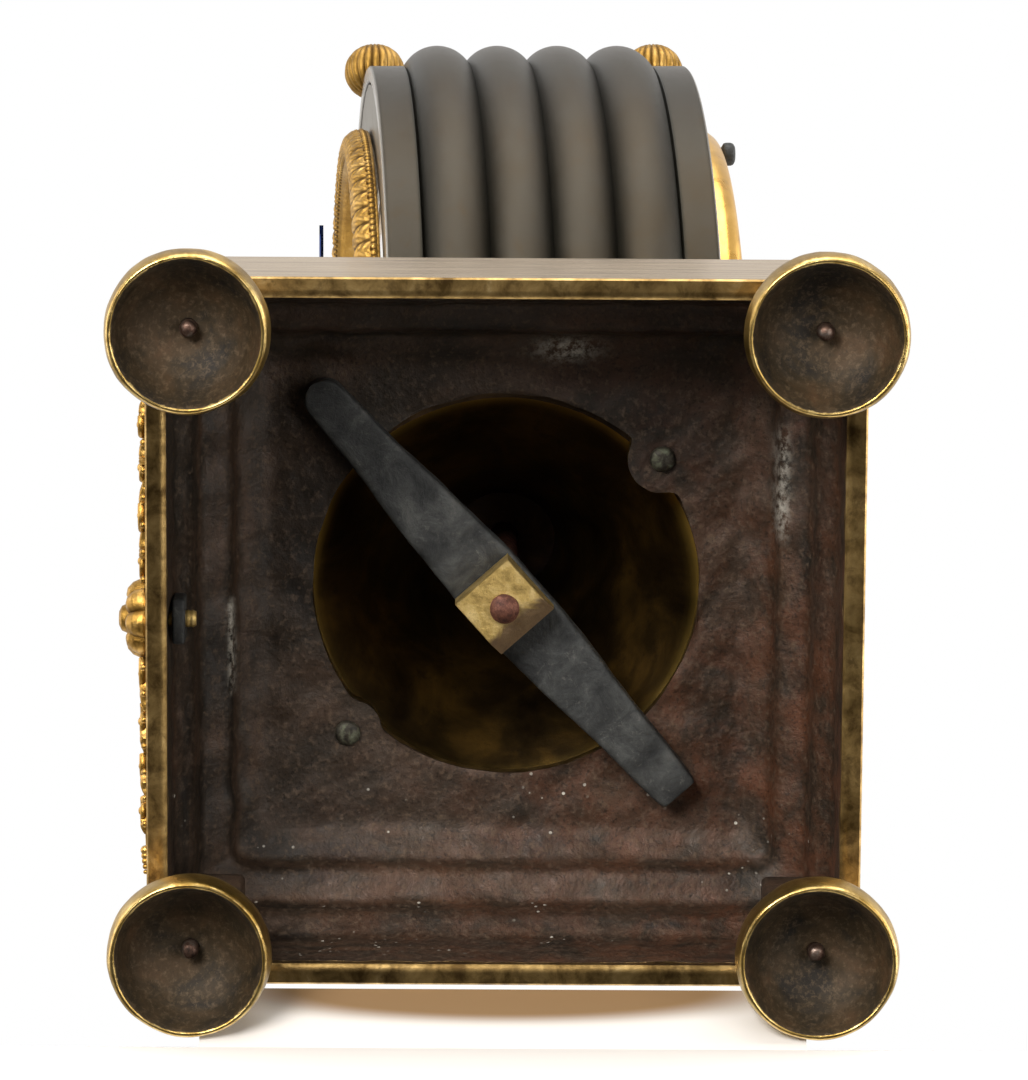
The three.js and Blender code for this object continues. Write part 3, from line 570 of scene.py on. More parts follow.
def block(low, high, round_off=0.5, steps=3):
    """A box between two corners with rounded edges: a grid of latitudes and longitudes on a ball, pushed out to
    the corners' inset box."""
    low, high = np.array(low, float), np.array(high, float)
    middle, reach = (low + high) / 2, (high - low) / 2 - round_off
    quarter = np.linspace(0, 90, steps + 1)
    longitude = np.radians(np.concatenate([quarter + 90 * k for k in range(4)]))
    latitude = np.radians(np.concatenate([quarter - 90, quarter]))
    way_x = np.repeat([1, -1, -1, 1], steps + 1)
    way_y = np.repeat([1, 1, -1, -1], steps + 1)
    way_z = np.repeat([-1, 1], steps + 1)
    ball = np.stack([
        np.outer(np.cos(longitude), np.cos(latitude)),
        np.outer(np.sin(longitude), np.cos(latitude)),
        np.outer(np.ones(len(longitude)), np.sin(latitude)),
    ], -1)
    ball = np.round(ball, 9)
    corner = np.stack([
        np.repeat(way_x[:, None], len(latitude), 1),
        np.repeat(way_y[:, None], len(latitude), 1),
        np.repeat(way_z[None], len(longitude), 0),
    ], -1)
    grid = middle + corner * reach + ball * round_off
    cap_low = np.repeat((middle + [0, 0, -reach[2] - round_off])[None, None], len(longitude), 0)
    cap_high = np.repeat((middle + [0, 0, reach[2] + round_off])[None, None], len(longitude), 0)
    return np.concatenate([cap_low, grid, cap_high], 1)


LUG_AT, LUG_HALF, LUG_TALL = 50.5, 6.5, 14
lugs = []
for sx in (-1, 1):
    for sy in (-1, 1):
        low = (sx * LUG_AT - LUG_HALF, sy * LUG_AT - LUG_HALF, RIM_Z + 0.1)
        high = (sx * LUG_AT + LUG_HALF, sy * LUG_AT + LUG_HALF, RIM_Z + LUG_TALL)
        lugs.append((block(low, high, 1.0), True, False))
count = sum(grid[0].shape[0] * grid[0].shape[1] for grid in lugs)
lug_marks = {key: np.zeros(count) for key in plinth_marks}
piece(skin("plinth_lugs", lugs, cast_bronze, 40, **lug_marks), "case", "bronze")

# ---- feet and their pins ----
# Four turned brass cups, mouth down. The lips are worn bright and the hollows are painted
# dark brown, as painted shade. A riveted pin holds each cup to a lug in the plinth's corner.
CUP = [
    (1.5, 9.4), (3.2, 9.15), (6, 8.3), (8.2, 6.9), (10, 5.1), (11.2, 3.0), (11.95, 0.9), (12.25, 0.22),
    (12.55, 0.02), (12.95, 0.12), (13.25, 0.8), (13.5, 2.0), (13.68, 3.6), (13.7, 4.6), (13.45, 6.2),
    (12.9, 7.6), (12.1, 8.9), (11.2, 10), (10.0, 11.1), (8.9, 11.9), (8.45, 12.3), (8.35, 12.7),
    (8.7, 13.1), (8.7, 13.7), (8.2, 14.1), (8.2, 14.7), (1.5, 14.7),
]


def eased_profile(corners, gap, passes=3):
    """A profile with points gap apart, its corners eased by averaging each point with its neighbours."""
    run = traced(corners, gap)
    for _ in range(passes):
        run[1:-1] = (run[:-2] + 2 * run[1:-1] + run[2:]) / 4
    return run


def spun(profile, steps, at=(0, 0, 0)):
    """A profile of (radius, height) turned about the vertical axis through at."""
    angle = np.linspace(0, 2 * np.pi, steps, endpoint=False)
    ring = np.stack([np.cos(angle), np.sin(angle)], -1)
    flat = ring[:, None] * profile[None, :, :1]
    return np.concatenate([flat, np.broadcast_to(profile[None, :, 1:2], flat.shape[:2] + (1,))], -1) + np.array(at)


brass = Finish("foot_brass")
hollow, lip = brass.mark("hollow"), brass.mark("lip")
stain = brass.noise(9, 6, 0.64, 0.6)
grain = brass.noise(0.7, 5, 0.72)
speckle = brass.span(brass.noise(1.0, 5, 0.75, 0.3), 0.50, 0.66)
turning = brass.noise(0.9, 3, 0.6, 0, brass.placed(scale=(0.25, 0.25, 2.2)))
outer = brass.tones(stain, (0.30, "#6a5223"), (0.46, "#96783b"), (0.60, "#b59653"), (0.76, "#d3ba82"))
# Inside the cups the brass is painted dark brown: painted shade in the hollows, with lighter flecks.
inner = brass.tones(stain, (0.34, "#1c150a"), (0.46, "#302410"), (0.58, "#402f19"), (0.72, "#4f371f"))
inner = brass.mix(brass.times(speckle, 0.45), inner, "#6b573f")
inner = brass.mix(brass.span(grain, 0.56, 0.70, 0, 0.6), inner, "#1a140c")
worn = brass.noise(5, 5, 0.7, 0.4)
edge = brass.span(brass.maths("ADD", lip, brass.span(worn, 0.35, 0.65, -0.35, 0.25)), 0.50, 0.85)
colour = brass.mix(
    brass.span(brass.maths("ADD", hollow, brass.span(stain, 0.3, 0.7, -0.15, 0.15)), 0.4, 0.65), outer, inner,
)
colour = brass.mix(edge, colour, brass.tones(worn, (0.35, "#8d6c34"), (0.6, "#c8ab6c")))
brass.relief((brass.noise(2.4, 5, 0.65), 0.09), (grain, 0.05), (turning, 0.02))
foot_brass = brass.shade(
    Base_Color=colour,
    Metallic=brass.blend(hollow, 1.0, 0.45),
    Roughness=brass.blend(edge, brass.blend(hollow, 0.36, 0.66), 0.28),
)
rust = Finish("dull_steel")
bloom = rust.noise(2.2, 5, 0.7, 0.4)
rust.relief((rust.noise(0.7, 4, 0.65), 0.05))
dull_steel = rust.shade(
    Base_Color=rust.tones(bloom, (0.36, "#33261f"), (0.50, "#5c4539"), (0.60, "#736358"), (0.74, "#8f857c")),
    Metallic=0.85,
    Roughness=rust.span(bloom, 0.35, 0.7, 0.62, 0.36),
)
LIP_R = 12.75
cup = eased_profile(CUP, 0.33)
for place, sx, sy in (("front_left", -1, -1), ("front_right", 1, -1), ("rear_left", -1, 1), ("rear_right", 1, 1)):
    low, high = box_mm(f"foot_{place}")
    at = np.array([(low[0] + high[0]) / 2, (low[1] + high[1]) / 2, 0])
    grid = spun(cup, 120, at)
    seed = 10 + sx + 3 * sy
    dent = lumps(grid, 9, seed) * 0.10 + lumps(grid, 3, seed + 9) * 0.03
    grid = grid + facing(grid, True, False) * dent[..., None] * (grid[..., 2] < 13)[..., None]
    grid[..., 2] = np.maximum(grid[..., 2], 0.0)
    from_lip = np.hypot(grid[..., 0] - at[0], grid[..., 1] - at[1]) - LIP_R
    marks = {
        "hollow": np.broadcast_to(
            np.arange(len(cup)) < np.argmin(cup[:, 1]) - 1, grid.shape[:2],
        ).astype(float).ravel(),
        "lip": (np.exp(-((from_lip / 0.62) ** 2)) * (grid[..., 2] < 2)).ravel(),
    }
    piece(
        skin(f"cup_foot_{place}", [(grid, True, True)], foot_brass, 40, **marks), "case", "brass", f"foot_{place}",
    )
    pin = eased_profile([(0.0, 6.35), (0.7, 6.45), (1.2, 6.8), (1.42, 7.4), (1.42, 24.9), (0.0, 24.9)], 0.3, 1)
    grid = spun(pin, 24, at)
    grid = grid + (lumps(grid, 2.5, seed + 5) * 0.12)[..., None] * np.array([1, 1, 0])
    piece(skin(f"riveted_pin_{place}", [(grid, True, False)], dull_steel), "case", "steel", f"foot_pin_{place}")

# ---- pedestal ----
# A hollow bronze trumpet, spun wide at its foot and drawn in to a moulded neck. It is gilt
# and a little greened inside, and two rivets hold its flange to the plinth's plate.
pedestal_low, pedestal_high = box_mm("pedestal")
FOOT_Z, NECK_TOP = pedestal_low[2], pedestal_high[2]
NECK_Z, NECK_R, MOUTH_R = NECK_TOP - 3, 9.5, 34.2


def flare(z):
    """The trumpet's inner radius at a height: from the mouth it closes to the neck by a power of the height
    left."""
    t = np.clip((z - FOOT_Z - 2) / (NECK_Z - FOOT_Z - 2), 0, 1)
    return NECK_R + (MOUTH_R - NECK_R) * (1 - t) ** 2.1


rise = np.linspace(FOOT_Z + 6, NECK_Z - 7, 40)
fall = np.linspace(NECK_Z, FOOT_Z + 2, 56)
moulded_foot = [
    (MOUTH_R, FOOT_Z), (41.5, FOOT_Z), (42.3, FOOT_Z + 0.8), (42.4, FOOT_Z + 2.4), (41.6, FOOT_Z + 3.8),
    (39.7, FOOT_Z + 4.5), (39.3, FOOT_Z + 5.2),
]
ring_turns = np.radians(np.linspace(-80, 80, 12))
ring_round = [(17.2 - 2.6 + 2.6 * math.cos(a), NECK_Z - 2 + 2.4 * math.sin(a)) for a in ring_turns]
trumpet = np.vstack([
    traced(moulded_foot, 0.5)[:-1],
    np.column_stack([flare(rise) + 3.2, rise]),
    traced([(13.6, NECK_Z - 6), (13.9, NECK_Z - 4.6)], 0.5),
    ring_round,
    traced([(14.6, NECK_Z + 1.2), (14.6, NECK_TOP), (NECK_R, NECK_TOP)], 0.6),
    np.column_stack([flare(fall), fall]),
])
grid = spun(trumpet, 200)
grid = grid + facing(grid, True, True) * (lumps(grid, 16, 21) * 0.10)[..., None]
within = np.broadcast_to(np.arange(len(trumpet)) >= len(trumpet) - len(fall) - 1, grid.shape[:2])
mouth = np.exp(-(((grid[..., 2] - FOOT_Z - 1.2) / 1.6) ** 2)) * within
gilt_in = Finish("pedestal_bronze")
patch = gilt_in.noise(13, 5, 0.6, 0.5)
inside = gilt_in.tones(patch, (0.30, "#241a0c"), (0.48, "#3a2b12"), (0.62, "#523c17"), (0.78, "#694d1d"))
inside = gilt_in.mix(gilt_in.span(gilt_in.noise(4, 5, 0.7), 0.55, 0.70, 0, 0.6), inside, "#231a0e")
inside = gilt_in.mix(gilt_in.mark("mouth"), inside, "#c9a550")
outside = gilt_in.tones(patch, (0.30, "#2f241a"), (0.50, "#4b3a28"), (0.72, "#6a5238"))
spin_lines = gilt_in.noise(0.8, 3, 0.6, 0, gilt_in.placed(scale=(0.12, 0.12, 1)))
gilt_in.relief((gilt_in.noise(3.5, 5, 0.65), 0.12), (spin_lines, 0.03))
pedestal_bronze = gilt_in.shade(
    Base_Color=gilt_in.mix(gilt_in.mark("within"), outside, inside),
    Metallic=0.9,
    Roughness=gilt_in.span(patch, 0.3, 0.7, 0.34, 0.52),
)
made = skin(
    "trumpet_pedestal", [(grid, True, True)], pedestal_bronze, 40, within=within.astype(float).ravel(),
    mouth=mouth.ravel(),
)
piece(made, "case", "bronze", "pedestal")
greened = Finish("greened_rivet")
verdigris = greened.noise(1.8, 5, 0.7, 0.4)
greened.relief((greened.noise(0.8, 4, 0.65), 0.08))
greened_rivet = greened.shade(
    Base_Color=greened.tones(verdigris, (0.36, "#1c1812"), (0.50, "#3a352a"), (0.62, "#565745"), (0.76, "#6f7461")),
    Metallic=0.5,
    Roughness=greened.span(verdigris, 0.35, 0.7, 0.5, 0.75),
)
for i, at in enumerate(rivet_at, 1):
    low_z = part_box(f"pedestal_rivet_{i}")[0].z * 1000
    head_profile = eased_profile(
        [
            (0.0, low_z), (1.3, low_z + 0.15), (2.0, low_z + 0.55), (2.3, low_z + 1.2), (1.5, low_z + 1.35),
            (1.5, FOOT_Z + 3.5), (0.0, FOOT_Z + 3.5),
        ],
        0.25, 1,
    )
    grid = spun(head_profile, 28, (at[0], at[1], 0))
    piece(skin(f"flange_rivet_{i}", [(grid, True, False)], greened_rivet), "case", "steel", f"pedestal_rivet_{i}")

# ---- clamp: bar, nut and tie rod ----
# A hand-forged iron bar lies across the hole. A square brass nut with one filed edge
# draws it up on the rusty rod that runs through the pedestal into the drum.
bar_low, bar_high = box_mm("clamp_bar")
nut_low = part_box("clamp_nut")[0].z * 1000
rod_low, rod_high = (corner.z * 1000 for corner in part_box("tie_rod"))
CLAMP_TURN = math.radians(138.2)


def clamp_turned(grid):
    """A grid built along X turned to the way that the clamp bar lies."""
    c, s = math.cos(CLAMP_TURN), math.sin(CLAMP_TURN)
    return np.stack([grid[..., 0] * c - grid[..., 1] * s, grid[..., 0] * s + grid[..., 1] * c, grid[..., 2]], -1)


def squared(wave):
    """A sine or cosine flattened towards a square wave: its size to the power 0.28, with its sign kept."""
    return np.sign(wave) * np.abs(wave) ** 0.28


def bar_width(along):
    """Half the bar's width: widest over the nut, narrowing evenly to both ends, the far one rounded off."""
    taper = 6.45 - (6.45 - 3.6) * np.clip((np.abs(along) - 6) / 39.8, 0, 1)
    nose = np.sqrt(np.clip(1 - (np.clip(-along - 46.5, 0, 3.59) / 3.6) ** 2, 0, 1))
    return taper * nose


nose_steps = -46.5 - 3.6 * np.sin(np.linspace(np.pi / 2, 0, 14))
along = np.concatenate([nose_steps, np.linspace(-46, 45.2, 150), [45.5, 45.7, 45.8]])
around_bar = np.linspace(0, 2 * np.pi, 64, endpoint=False)
half_t = (bar_high[2] - bar_low[2]) / 2
wide = bar_width(along)
shrink = np.clip((45.8 - along) / 0.8, 0, 1) ** 0.5 * 0.06 + 0.94
grid = np.stack([
    np.repeat(along[None], 64, 0),
    squared(np.cos(around_bar))[:, None] * (wide * shrink)[None],
    np.repeat(
        (squared(np.sin(around_bar)) * half_t)[:, None], len(along), 1,
    ) * shrink[None] + (bar_low[2] + half_t),
], -1)
grid[..., 2] += lumps(grid, 12, 31) * 0.16 + lumps(grid, 4, 32) * 0.07
grid[..., 1] += lumps(grid, 15, 33) * 0.22 + lumps(grid, 5, 34) * 0.06
start_cap = np.repeat(grid[:, :1].mean(0, keepdims=True), 64, 0)
end_cap = np.repeat(grid[:, -1:].mean(0, keepdims=True), 64, 0)
grid = np.concatenate([start_cap, grid, end_cap], 1)
grid[..., 2] = np.clip(grid[..., 2], bar_low[2] - 0.2, bar_high[2] + 0.2)
forged = Finish("forged_iron")
scale_skin = forged.noise(6, 6, 0.68, 0.5)
crumb = forged.noise(0.8, 5, 0.7)
lint = forged.span(forged.noise(1.9, 6, 0.75, 0.8), 0.56, 0.70)
lint = forged.times(lint, forged.span(forged.noise(16, 3), 0.42, 0.58))
dark = forged.tones(scale_skin, (0.30, "#1b1b1a"), (0.48, "#31312f"), (0.62, "#434340"), (0.78, "#55534e"))
forged.relief((scale_skin, 0.30), (crumb, 0.10))
forged_iron = forged.shade(
    Base_Color=forged.mix(forged.times(lint, 0.35), dark, "#8a857c"),
    Metallic=0.35,
    Roughness=forged.span(crumb, 0.3, 0.7, 0.52, 0.78),
)
piece(skin("forged_clamp_bar", [(clamp_turned(grid), True, False)], forged_iron, 50), "case", "iron", "clamp_bar")

NUT_SIDE, NUT_T, FILED, FILED_RISE = 12.0, 6.5, 3.4, 2.2
side = np.linspace(-1, 1, 15)
rim_loop = np.vstack([
    np.column_stack([np.ones(14), side[:-1]]), np.column_stack([-side[:-1], np.ones(14)]),
    np.column_stack([-np.ones(14), -side[:-1]]), np.column_stack([side[:-1], -np.ones(14)]),
]) * NUT_SIDE / 2
shrinks = [0.0, 0.25, 0.5, 0.75, 0.9, 0.975, 1.0, 1.0, 1.0, 0.975, 0.6, 0.0]
heights = [0, 0, 0, 0, 0, 0.0, 0.25, NUT_T / 2, NUT_T - 0.25, NUT_T, NUT_T, NUT_T]
grid = np.stack([np.column_stack([rim_loop * k, np.full(len(rim_loop), h)]) for k, h in zip(shrinks, heights)], 1)
filed = np.clip(grid[..., 0] - (NUT_SIDE / 2 - FILED), 0, None) * FILED_RISE / FILED
grid[..., 2] = np.maximum(grid[..., 2], filed)
grid[..., 2] += lumps(grid, 3, 41) * 0.04
on_filed = ((filed > 0.05) & (np.abs(grid[..., 2] - filed) < 0.2)).astype(float)
grid = clamp_turned(grid + np.array([0, 0, nut_low]))
nut = Finish("nut_brass")
grit = nut.noise(0.55, 5, 0.72)
nut_tone = nut.tones(nut.noise(2.6, 5, 0.66, 0.3), (0.34, "#9b8049"), (0.50, "#c4a562"), (0.70, "#dcc082"))
nut_tone = nut.mix(nut.span(grit, 0.56, 0.68, 0, 0.5), nut_tone, "#7c683f")
nut_tone = nut.mix(nut.times(nut.mark("filed"), 0.8), nut_tone, "#836c59")
nut.relief((grit, 0.10), (nut.noise(2, 4), 0.08))
nut_brass = nut.shade(Base_Color=nut_tone, Metallic=0.8, Roughness=nut.span(grit, 0.3, 0.7, 0.36, 0.58))
piece(
    skin("square_clamp_nut", [(grid, True, False)], nut_brass, 30, filed=on_filed.ravel()), "case", "brass",
    "clamp_nut",
)

thread = np.arange(rod_low + 1.1, rod_high - 0.8, 0.35)
rod_profile = np.vstack([
    [(0.0, rod_low), (0.9, rod_low + 0.12), (1.6, rod_low + 0.4), (2.15, rod_low + 0.8)],
    np.column_stack([2.44 - 0.08 * np.cos(thread * 2 * np.pi / 1.05), thread]),
    [(2.2, rod_high - 0.3), (0.0, rod_high)],
])
grid = spun(rod_profile, 28)
grid[..., :2] += (lumps(grid, 3, 51) * 0.05)[..., None]
red = Finish("rusty_rod")
red_noise = red.noise(1.4, 5, 0.7)
red.relief((red_noise, 0.16), (red.noise(0.5, 4), 0.05))
rusty_rod = red.shade(
    Base_Color=red.tones(red_noise, (0.32, "#3a211a"), (0.50, "#613a2b"), (0.66, "#825544")),
    Metallic=0.45,
    Roughness=red.span(red_noise, 0.3, 0.7, 0.7, 0.5),
)
piece(skin("threaded_tie_rod", [(grid, True, False)], rusty_rod, 40), "case", "steel", "tie_rod")

# ---- drum shell ----
# A turned bronze drum with four bold reeds between flat bands. Its grey-brown patina
# is rubbed with fine lines that run round it. The head nods a little on the pedestal.
centre_joint = next(j for j in frame["record"]["behaviour"]["joints"] if j["name"] == "minute_hand_turn")
HEAD_AT = np.array(centre_joint["pos_m"]) * 1000
NOD = math.atan2(centre_joint["axis"][2], centre_joint["axis"][1])


def on_head(grid):
    """A grid built about the drum's own centre, leaned forward by the nod and moved to the drum's place."""
    c, s = math.cos(NOD), math.sin(NOD)
    x, y, z = grid[..., 0], grid[..., 1], grid[..., 2]
    return np.stack([x, y * c - z * s, y * s + z * c], -1) + HEAD_AT


def faced(profile, steps, at=(0, 0)):
    """A profile of (radius, distance along the drum's axis) turned about a line along that axis, at (x, z)."""
    angle = np.linspace(0, 2 * np.pi, steps, endpoint=False)
    return np.stack([
        np.cos(angle)[:, None] * profile[None, :, 0] + at[0],
        np.repeat(profile[None, :, 1], steps, 0),
        np.sin(angle)[:, None] * profile[None, :, 0] + at[1],
    ], -1)


DRUM_HALF, BAND_R, GROOVE_R, CREST_R, BAND_W, BORE_R, REEDS = 31.4, 79.2, 80.0, 83.2, 7.6, 76.0, 4
pitch = 2 * (DRUM_HALF - BAND_W) / REEDS
across = np.linspace(0, 1, 25)
swell = CREST_R - GROOVE_R
reed_round = ((pitch / 2) ** 2 + swell**2) / (2 * swell)
reed = np.sqrt(reed_round**2 - ((across - 0.5) * pitch) ** 2) - reed_round + swell
outer_run = [
    (BORE_R, -DRUM_HALF + 0.3), (BORE_R + 0.3, -DRUM_HALF), (BAND_R - 0.4, -DRUM_HALF), (BAND_R, -DRUM_HALF + 0.4),
    (BAND_R, -DRUM_HALF + BAND_W - 0.8), (BAND_R - 0.5, -DRUM_HALF + BAND_W - 0.4),
]
run = [traced(outer_run, 0.7)]
for k in range(REEDS):
    start = -DRUM_HALF + BAND_W + k * pitch
    run.append(np.column_stack([GROOVE_R + reed, start + across * pitch]))
run.append(traced([(r, -v) for r, v in outer_run[::-1]], 0.7))
run.append(traced([(BORE_R, DRUM_HALF - 0.3), (BORE_R, -DRUM_HALF + 0.3)], 4)[1:-1])
shell = np.vstack(run)
local = faced(shell, 288)
grid = on_head(local)
height = np.clip((np.hypot(local[..., 0], local[..., 2]) - GROOVE_R) / (CREST_R - GROOVE_R), 0, 1)
# How high each point stands on its reed; the grooves are painted dark by it below, as painted shade.
ridge = np.where(np.abs(local[..., 1]) > DRUM_HALF - BAND_W + 0.9, 0.75, height)
# The drum's end faces, painted pale grey below: a painted sheen for the white light they reflect.
faced_off = (np.abs(local[..., 1]) > DRUM_HALF - 0.15).astype(float)
drum = Finish("drum_bronze")
own = drum.vector("own")
turned_line = drum.noise(1, 5, 0.68, 0, drum.placed(scale=(0.035, 1.3, 0.035), source=own))
soft_line = drum.noise(1, 3, 0.55, 0, drum.placed(scale=(0.02, 0.33, 0.02), source=own))
cloud = drum.noise(24, 5, 0.62, 0.4)
spots = drum.span(drum.noise(3.6, 5, 0.72, 0.5), 0.56, 0.70)
patina = drum.tones(turned_line, (0.36, "#1b1813"), (0.46, "#2c2821"), (0.56, "#3e382f"), (0.68, "#5b5448"))
patina = drum.mix(drum.span(cloud, 0.42, 0.66, 0, 0.65), patina, "#322819")
patina = drum.mix(drum.span(soft_line, 0.48, 0.66, 0, 0.5), patina, "#5d5548")
patina = drum.mix(drum.times(spots, 0.5), patina, "#3a2d1c")
# Painted shade: the grooves between the reeds, and a little the flat bands, are painted near black.
patina = drum.mix(drum.span(drum.mark("ridge"), 0.0, 0.85, 0.85, 0), patina, "#191811")
# Painted sheen: the end faces are painted pale grey.
patina = drum.mix(drum.mark("faced_off"), patina, "#a9a39a")
drum.relief((turned_line, 0.05), (drum.noise(5, 4), 0.05))
drum_bronze = drum.shade(
    Base_Color=patina, Metallic=0.9,
    Roughness=drum.blend(drum.mark("faced_off"), drum.span(turned_line, 0.3, 0.7, 0.26, 0.40), 0.2),
)
made = skin(
    "reeded_drum", [(grid, True, True)], drum_bronze, 50, own=local.reshape(-1, 3), ridge=ridge.ravel(),
    faced_off=faced_off.ravel(),
)
piece(made, "case", "drum_bronze", "drum_shell")

# ---- shoulder bosses ----
# Four cast and gilt bosses like balls, drawn up all round in small flutes, that
# stand on the end bands at the drum's shoulders. Their gilding is matt, and painted dark in the flutes as painted
# shade.
gilding = Finish("fire_gilding")
wash = gilding.noise(6, 5, 0.62, 0.4)
grain = gilding.noise(0.9, 4, 0.65)
hollows = gilding.mark("hollow")
gold = gilding.tones(wash, (0.30, "#83622b"), (0.50, "#a6803e"), (0.72, "#c39f60"))
# Where a piece's hollow mark is high, the gold is painted dark brown and matt: painted shade in flutes and chasing.
gold = gilding.mix(gilding.span(hollows, 0.2, 0.9, 0, 0.92), gold, "#3f2a10")
gold = gilding.mix(gilding.span(gilding.noise(2.2, 5, 0.7, 0.4), 0.58, 0.72, 0, 0.65), gold, "#6b4a1d")
gilding.relief((gilding.noise(1.6, 5, 0.68), 0.16), (grain, 0.06))
fire_gilding = gilding.shade(
    Base_Color=gold, Metallic=1.0, Roughness=gilding.blend(hollows, gilding.span(grain, 0.3, 0.7, 0.30, 0.50), 0.6),
)
BOSS_R, BOSS_OUT, BOSS_LEAN, FLUTES = 6.15, 84.8, math.radians(28), 22
tall = np.linspace(-90, 90, 73)
turn = np.linspace(0, 360, 176, endpoint=False)
for side_name, sx in (("left", -1), ("right", 1)):
    for end_name, sy in (("front", -1), ("rear", 1)):
        lat, lon = np.radians(tall)[None], np.radians(turn)[:, None]
        swell = np.clip(np.cos(lat), 0, 1) ** 0.5
        flute = np.abs(np.cos(lon * FLUTES / 2)) ** 0.7 * swell
        radius = BOSS_R * (0.93 + 0.07 * flute)
        flat_x = radius * np.cos(lat) * np.cos(lon)
        flat_y = radius * np.cos(lat) * np.sin(lon)
        out = radius * 0.95 * np.sin(lat)
        radial = np.array([sx * math.cos(BOSS_LEAN), 0, math.sin(BOSS_LEAN)])
        tangent = np.array([-sx * math.sin(BOSS_LEAN), 0, math.cos(BOSS_LEAN)])
        middle = radial * BOSS_OUT + np.array([0, sy * (DRUM_HALF - BAND_W / 2 + 0.9), 0])
        ball = middle + out[
            ..., None,
        ] * radial + flat_x[..., None] * tangent + flat_y[..., None] * np.array([0, 1, 0])
        # Painted shade: darker in the flutes, and a little darker all over.
        dark_groove = (0.35 + 0.4 * (1 - flute) * swell).ravel()
        made = skin(
            f"fluted_boss_{end_name}_{side_name}", [(on_head(ball), True, False)], fire_gilding, 60,
            hollow=dark_groove,
        )
        piece(made, "case", "gilt", f"shoulder_boss_{end_name}_{side_name}")

# ---- front bezel ----
# A gilt ring that frames the dial. Its rounded outside is chased all over with a run of
# upright leaves between beaded edges, its inside is plain, and a knuckle hangs it on the drum.
HINGE_X, HINGE_Y = -72.6, 34.6
LEAVES, EDGE_BEADS = 88, 264


def knuckle_and_arm(sy):
    """A cover's own hinge knuckle, a short tube along the hinge line, and the arm that joins it to the rim."""
    tube = np.array([(0.0, -3.6), (1.7, -3.6), (2.0, -3.3), (2.0, 3.3), (1.7, 3.6), (0.0, 3.6)])
    barrel = spun(tube, 32, (HINGE_X, sy * HINGE_Y, 0))
    arm = block((HINGE_X, sy * HINGE_Y - 1, -3.6), (-65.2, sy * HINGE_Y + 1, 3.6), 0.4)
    return [(on_head(barrel), True, False), (on_head(arm), True, False)]


def joined(patches, fill):
    """Marks for extra patches after a first one: the same number at every point."""
    return np.full(sum(grid.shape[0] * grid.shape[1] for grid, *_ in patches), float(fill))


plain_inside = traced([(60.5, -31.7), (60.5, -34.9), (60.95, -35.6)], 0.8)[:-1]
chased_outside = eased_profile(
    [(60.95, -35.6), (61.7, -36.15), (63.1, -36.35), (64.9, -35.8), (66.0, -34.5), (66.45, -33.0), (66.5, -32.1)],
    0.2, 4,
)
seat_edge = traced([(66.5, -31.9), (66.4, -31.7), (61, -31.7)], 1.0)
local = faced(np.vstack([plain_inside, chased_outside, seat_edge]), EDGE_BEADS * 5)
up_leaf = np.zeros(local.shape[1])
up_leaf[len(plain_inside) : len(plain_inside) + len(chased_outside)] = np.linspace(1, 0, len(chased_outside))
up_leaf = up_leaf[None]
angle = np.linspace(0, 2 * np.pi, len(local), endpoint=False)[:, None]
over_leaf = 2 * np.mod(angle * LEAVES / (2 * np.pi), 1) - 1
ribs = 0.5 + 0.5 * np.cos(2 * np.pi * (1.5 * np.abs(over_leaf) + 4.5 * up_leaf))
outline = np.clip((1 - np.abs(over_leaf) ** 3) * 1.3 - 1.1 * np.abs(up_leaf - 0.45), 0, 1)
leaves = np.clip(outline * (0.35 + 0.65 * ribs) + 0.25 * np.exp(-((over_leaf / 0.14) ** 2)), 0, 1)
edge_row = np.exp(-(((up_leaf - 0.10) / 0.06) ** 2)) + np.exp(-(((up_leaf - 0.93) / 0.05) ** 2))
beads = edge_row * (0.5 + 0.5 * np.cos(angle * EDGE_BEADS))
chasing = np.maximum(leaves * (up_leaf > 0.16) * (up_leaf < 0.88), beads) * (up_leaf > 0) * (up_leaf < 1)
normal = facing(local, True, True)
normal = normal * np.sign(-normal[0, len(plain_inside) + 12, 1])
local = local + normal * (chasing * 0.45)[..., None]
hinge_patches = knuckle_and_arm(-1)
# Painted shade: the gold is painted dark in the recesses between the chased leaves and beads.
recess = (1 - np.clip(chasing * 1.4, 0, 1)) * (up_leaf > 0) * (up_leaf < 1)
hollow = np.concatenate([recess.ravel(), joined(hinge_patches, 0)])
chased = skin("chased_bezel", [(on_head(local), True, True), *hinge_patches], fire_gilding, 60, hollow=hollow)
piece(chased, "bezel_cover", "gilt", "bezel")

# ---- rear door and knob ----
# A spun gilt door with a rolled moulding round it, spotted with age, and a small dark knob.
door = eased_profile(
    [
        (0.0, 31.7), (66.2, 31.7), (66.75, 32.3), (66.8, 33.5), (66.6, 34.9), (66.0, 35.9), (65.1, 37.0),
        (63.9, 37.6), (62.6, 37.5), (61.2, 36.7), (60.3, 35.5), (59.6, 34.5), (58.2, 34.3), (56, 34.4), (0.0, 34.9),
    ],
    0.6, 2,
)
local = faced(door, 240)
hinge_patches = knuckle_and_arm(1)
aged = Finish("aged_gilding")
cloudy = aged.noise(15, 5, 0.6, 0.5)
black_spot = aged.span(aged.cells(9), 0.05, 0.17, 1, 0)
black_spot = aged.times(black_spot, aged.span(aged.noise(20, 2), 0.46, 0.56))
honey = aged.tones(cloudy, (0.30, "#b98a3c"), (0.52, "#dcae5c"), (0.74, "#edcb85"))
honey = aged.mix(aged.times(black_spot, 0.8), honey, "#3a2a16")
ring_lines = aged.noise(1, 3, 0.5, 0, aged.placed(scale=(0.6, 0.6, 0.6)))
aged.relief((ring_lines, 0.03), (aged.noise(7, 4), 0.06))
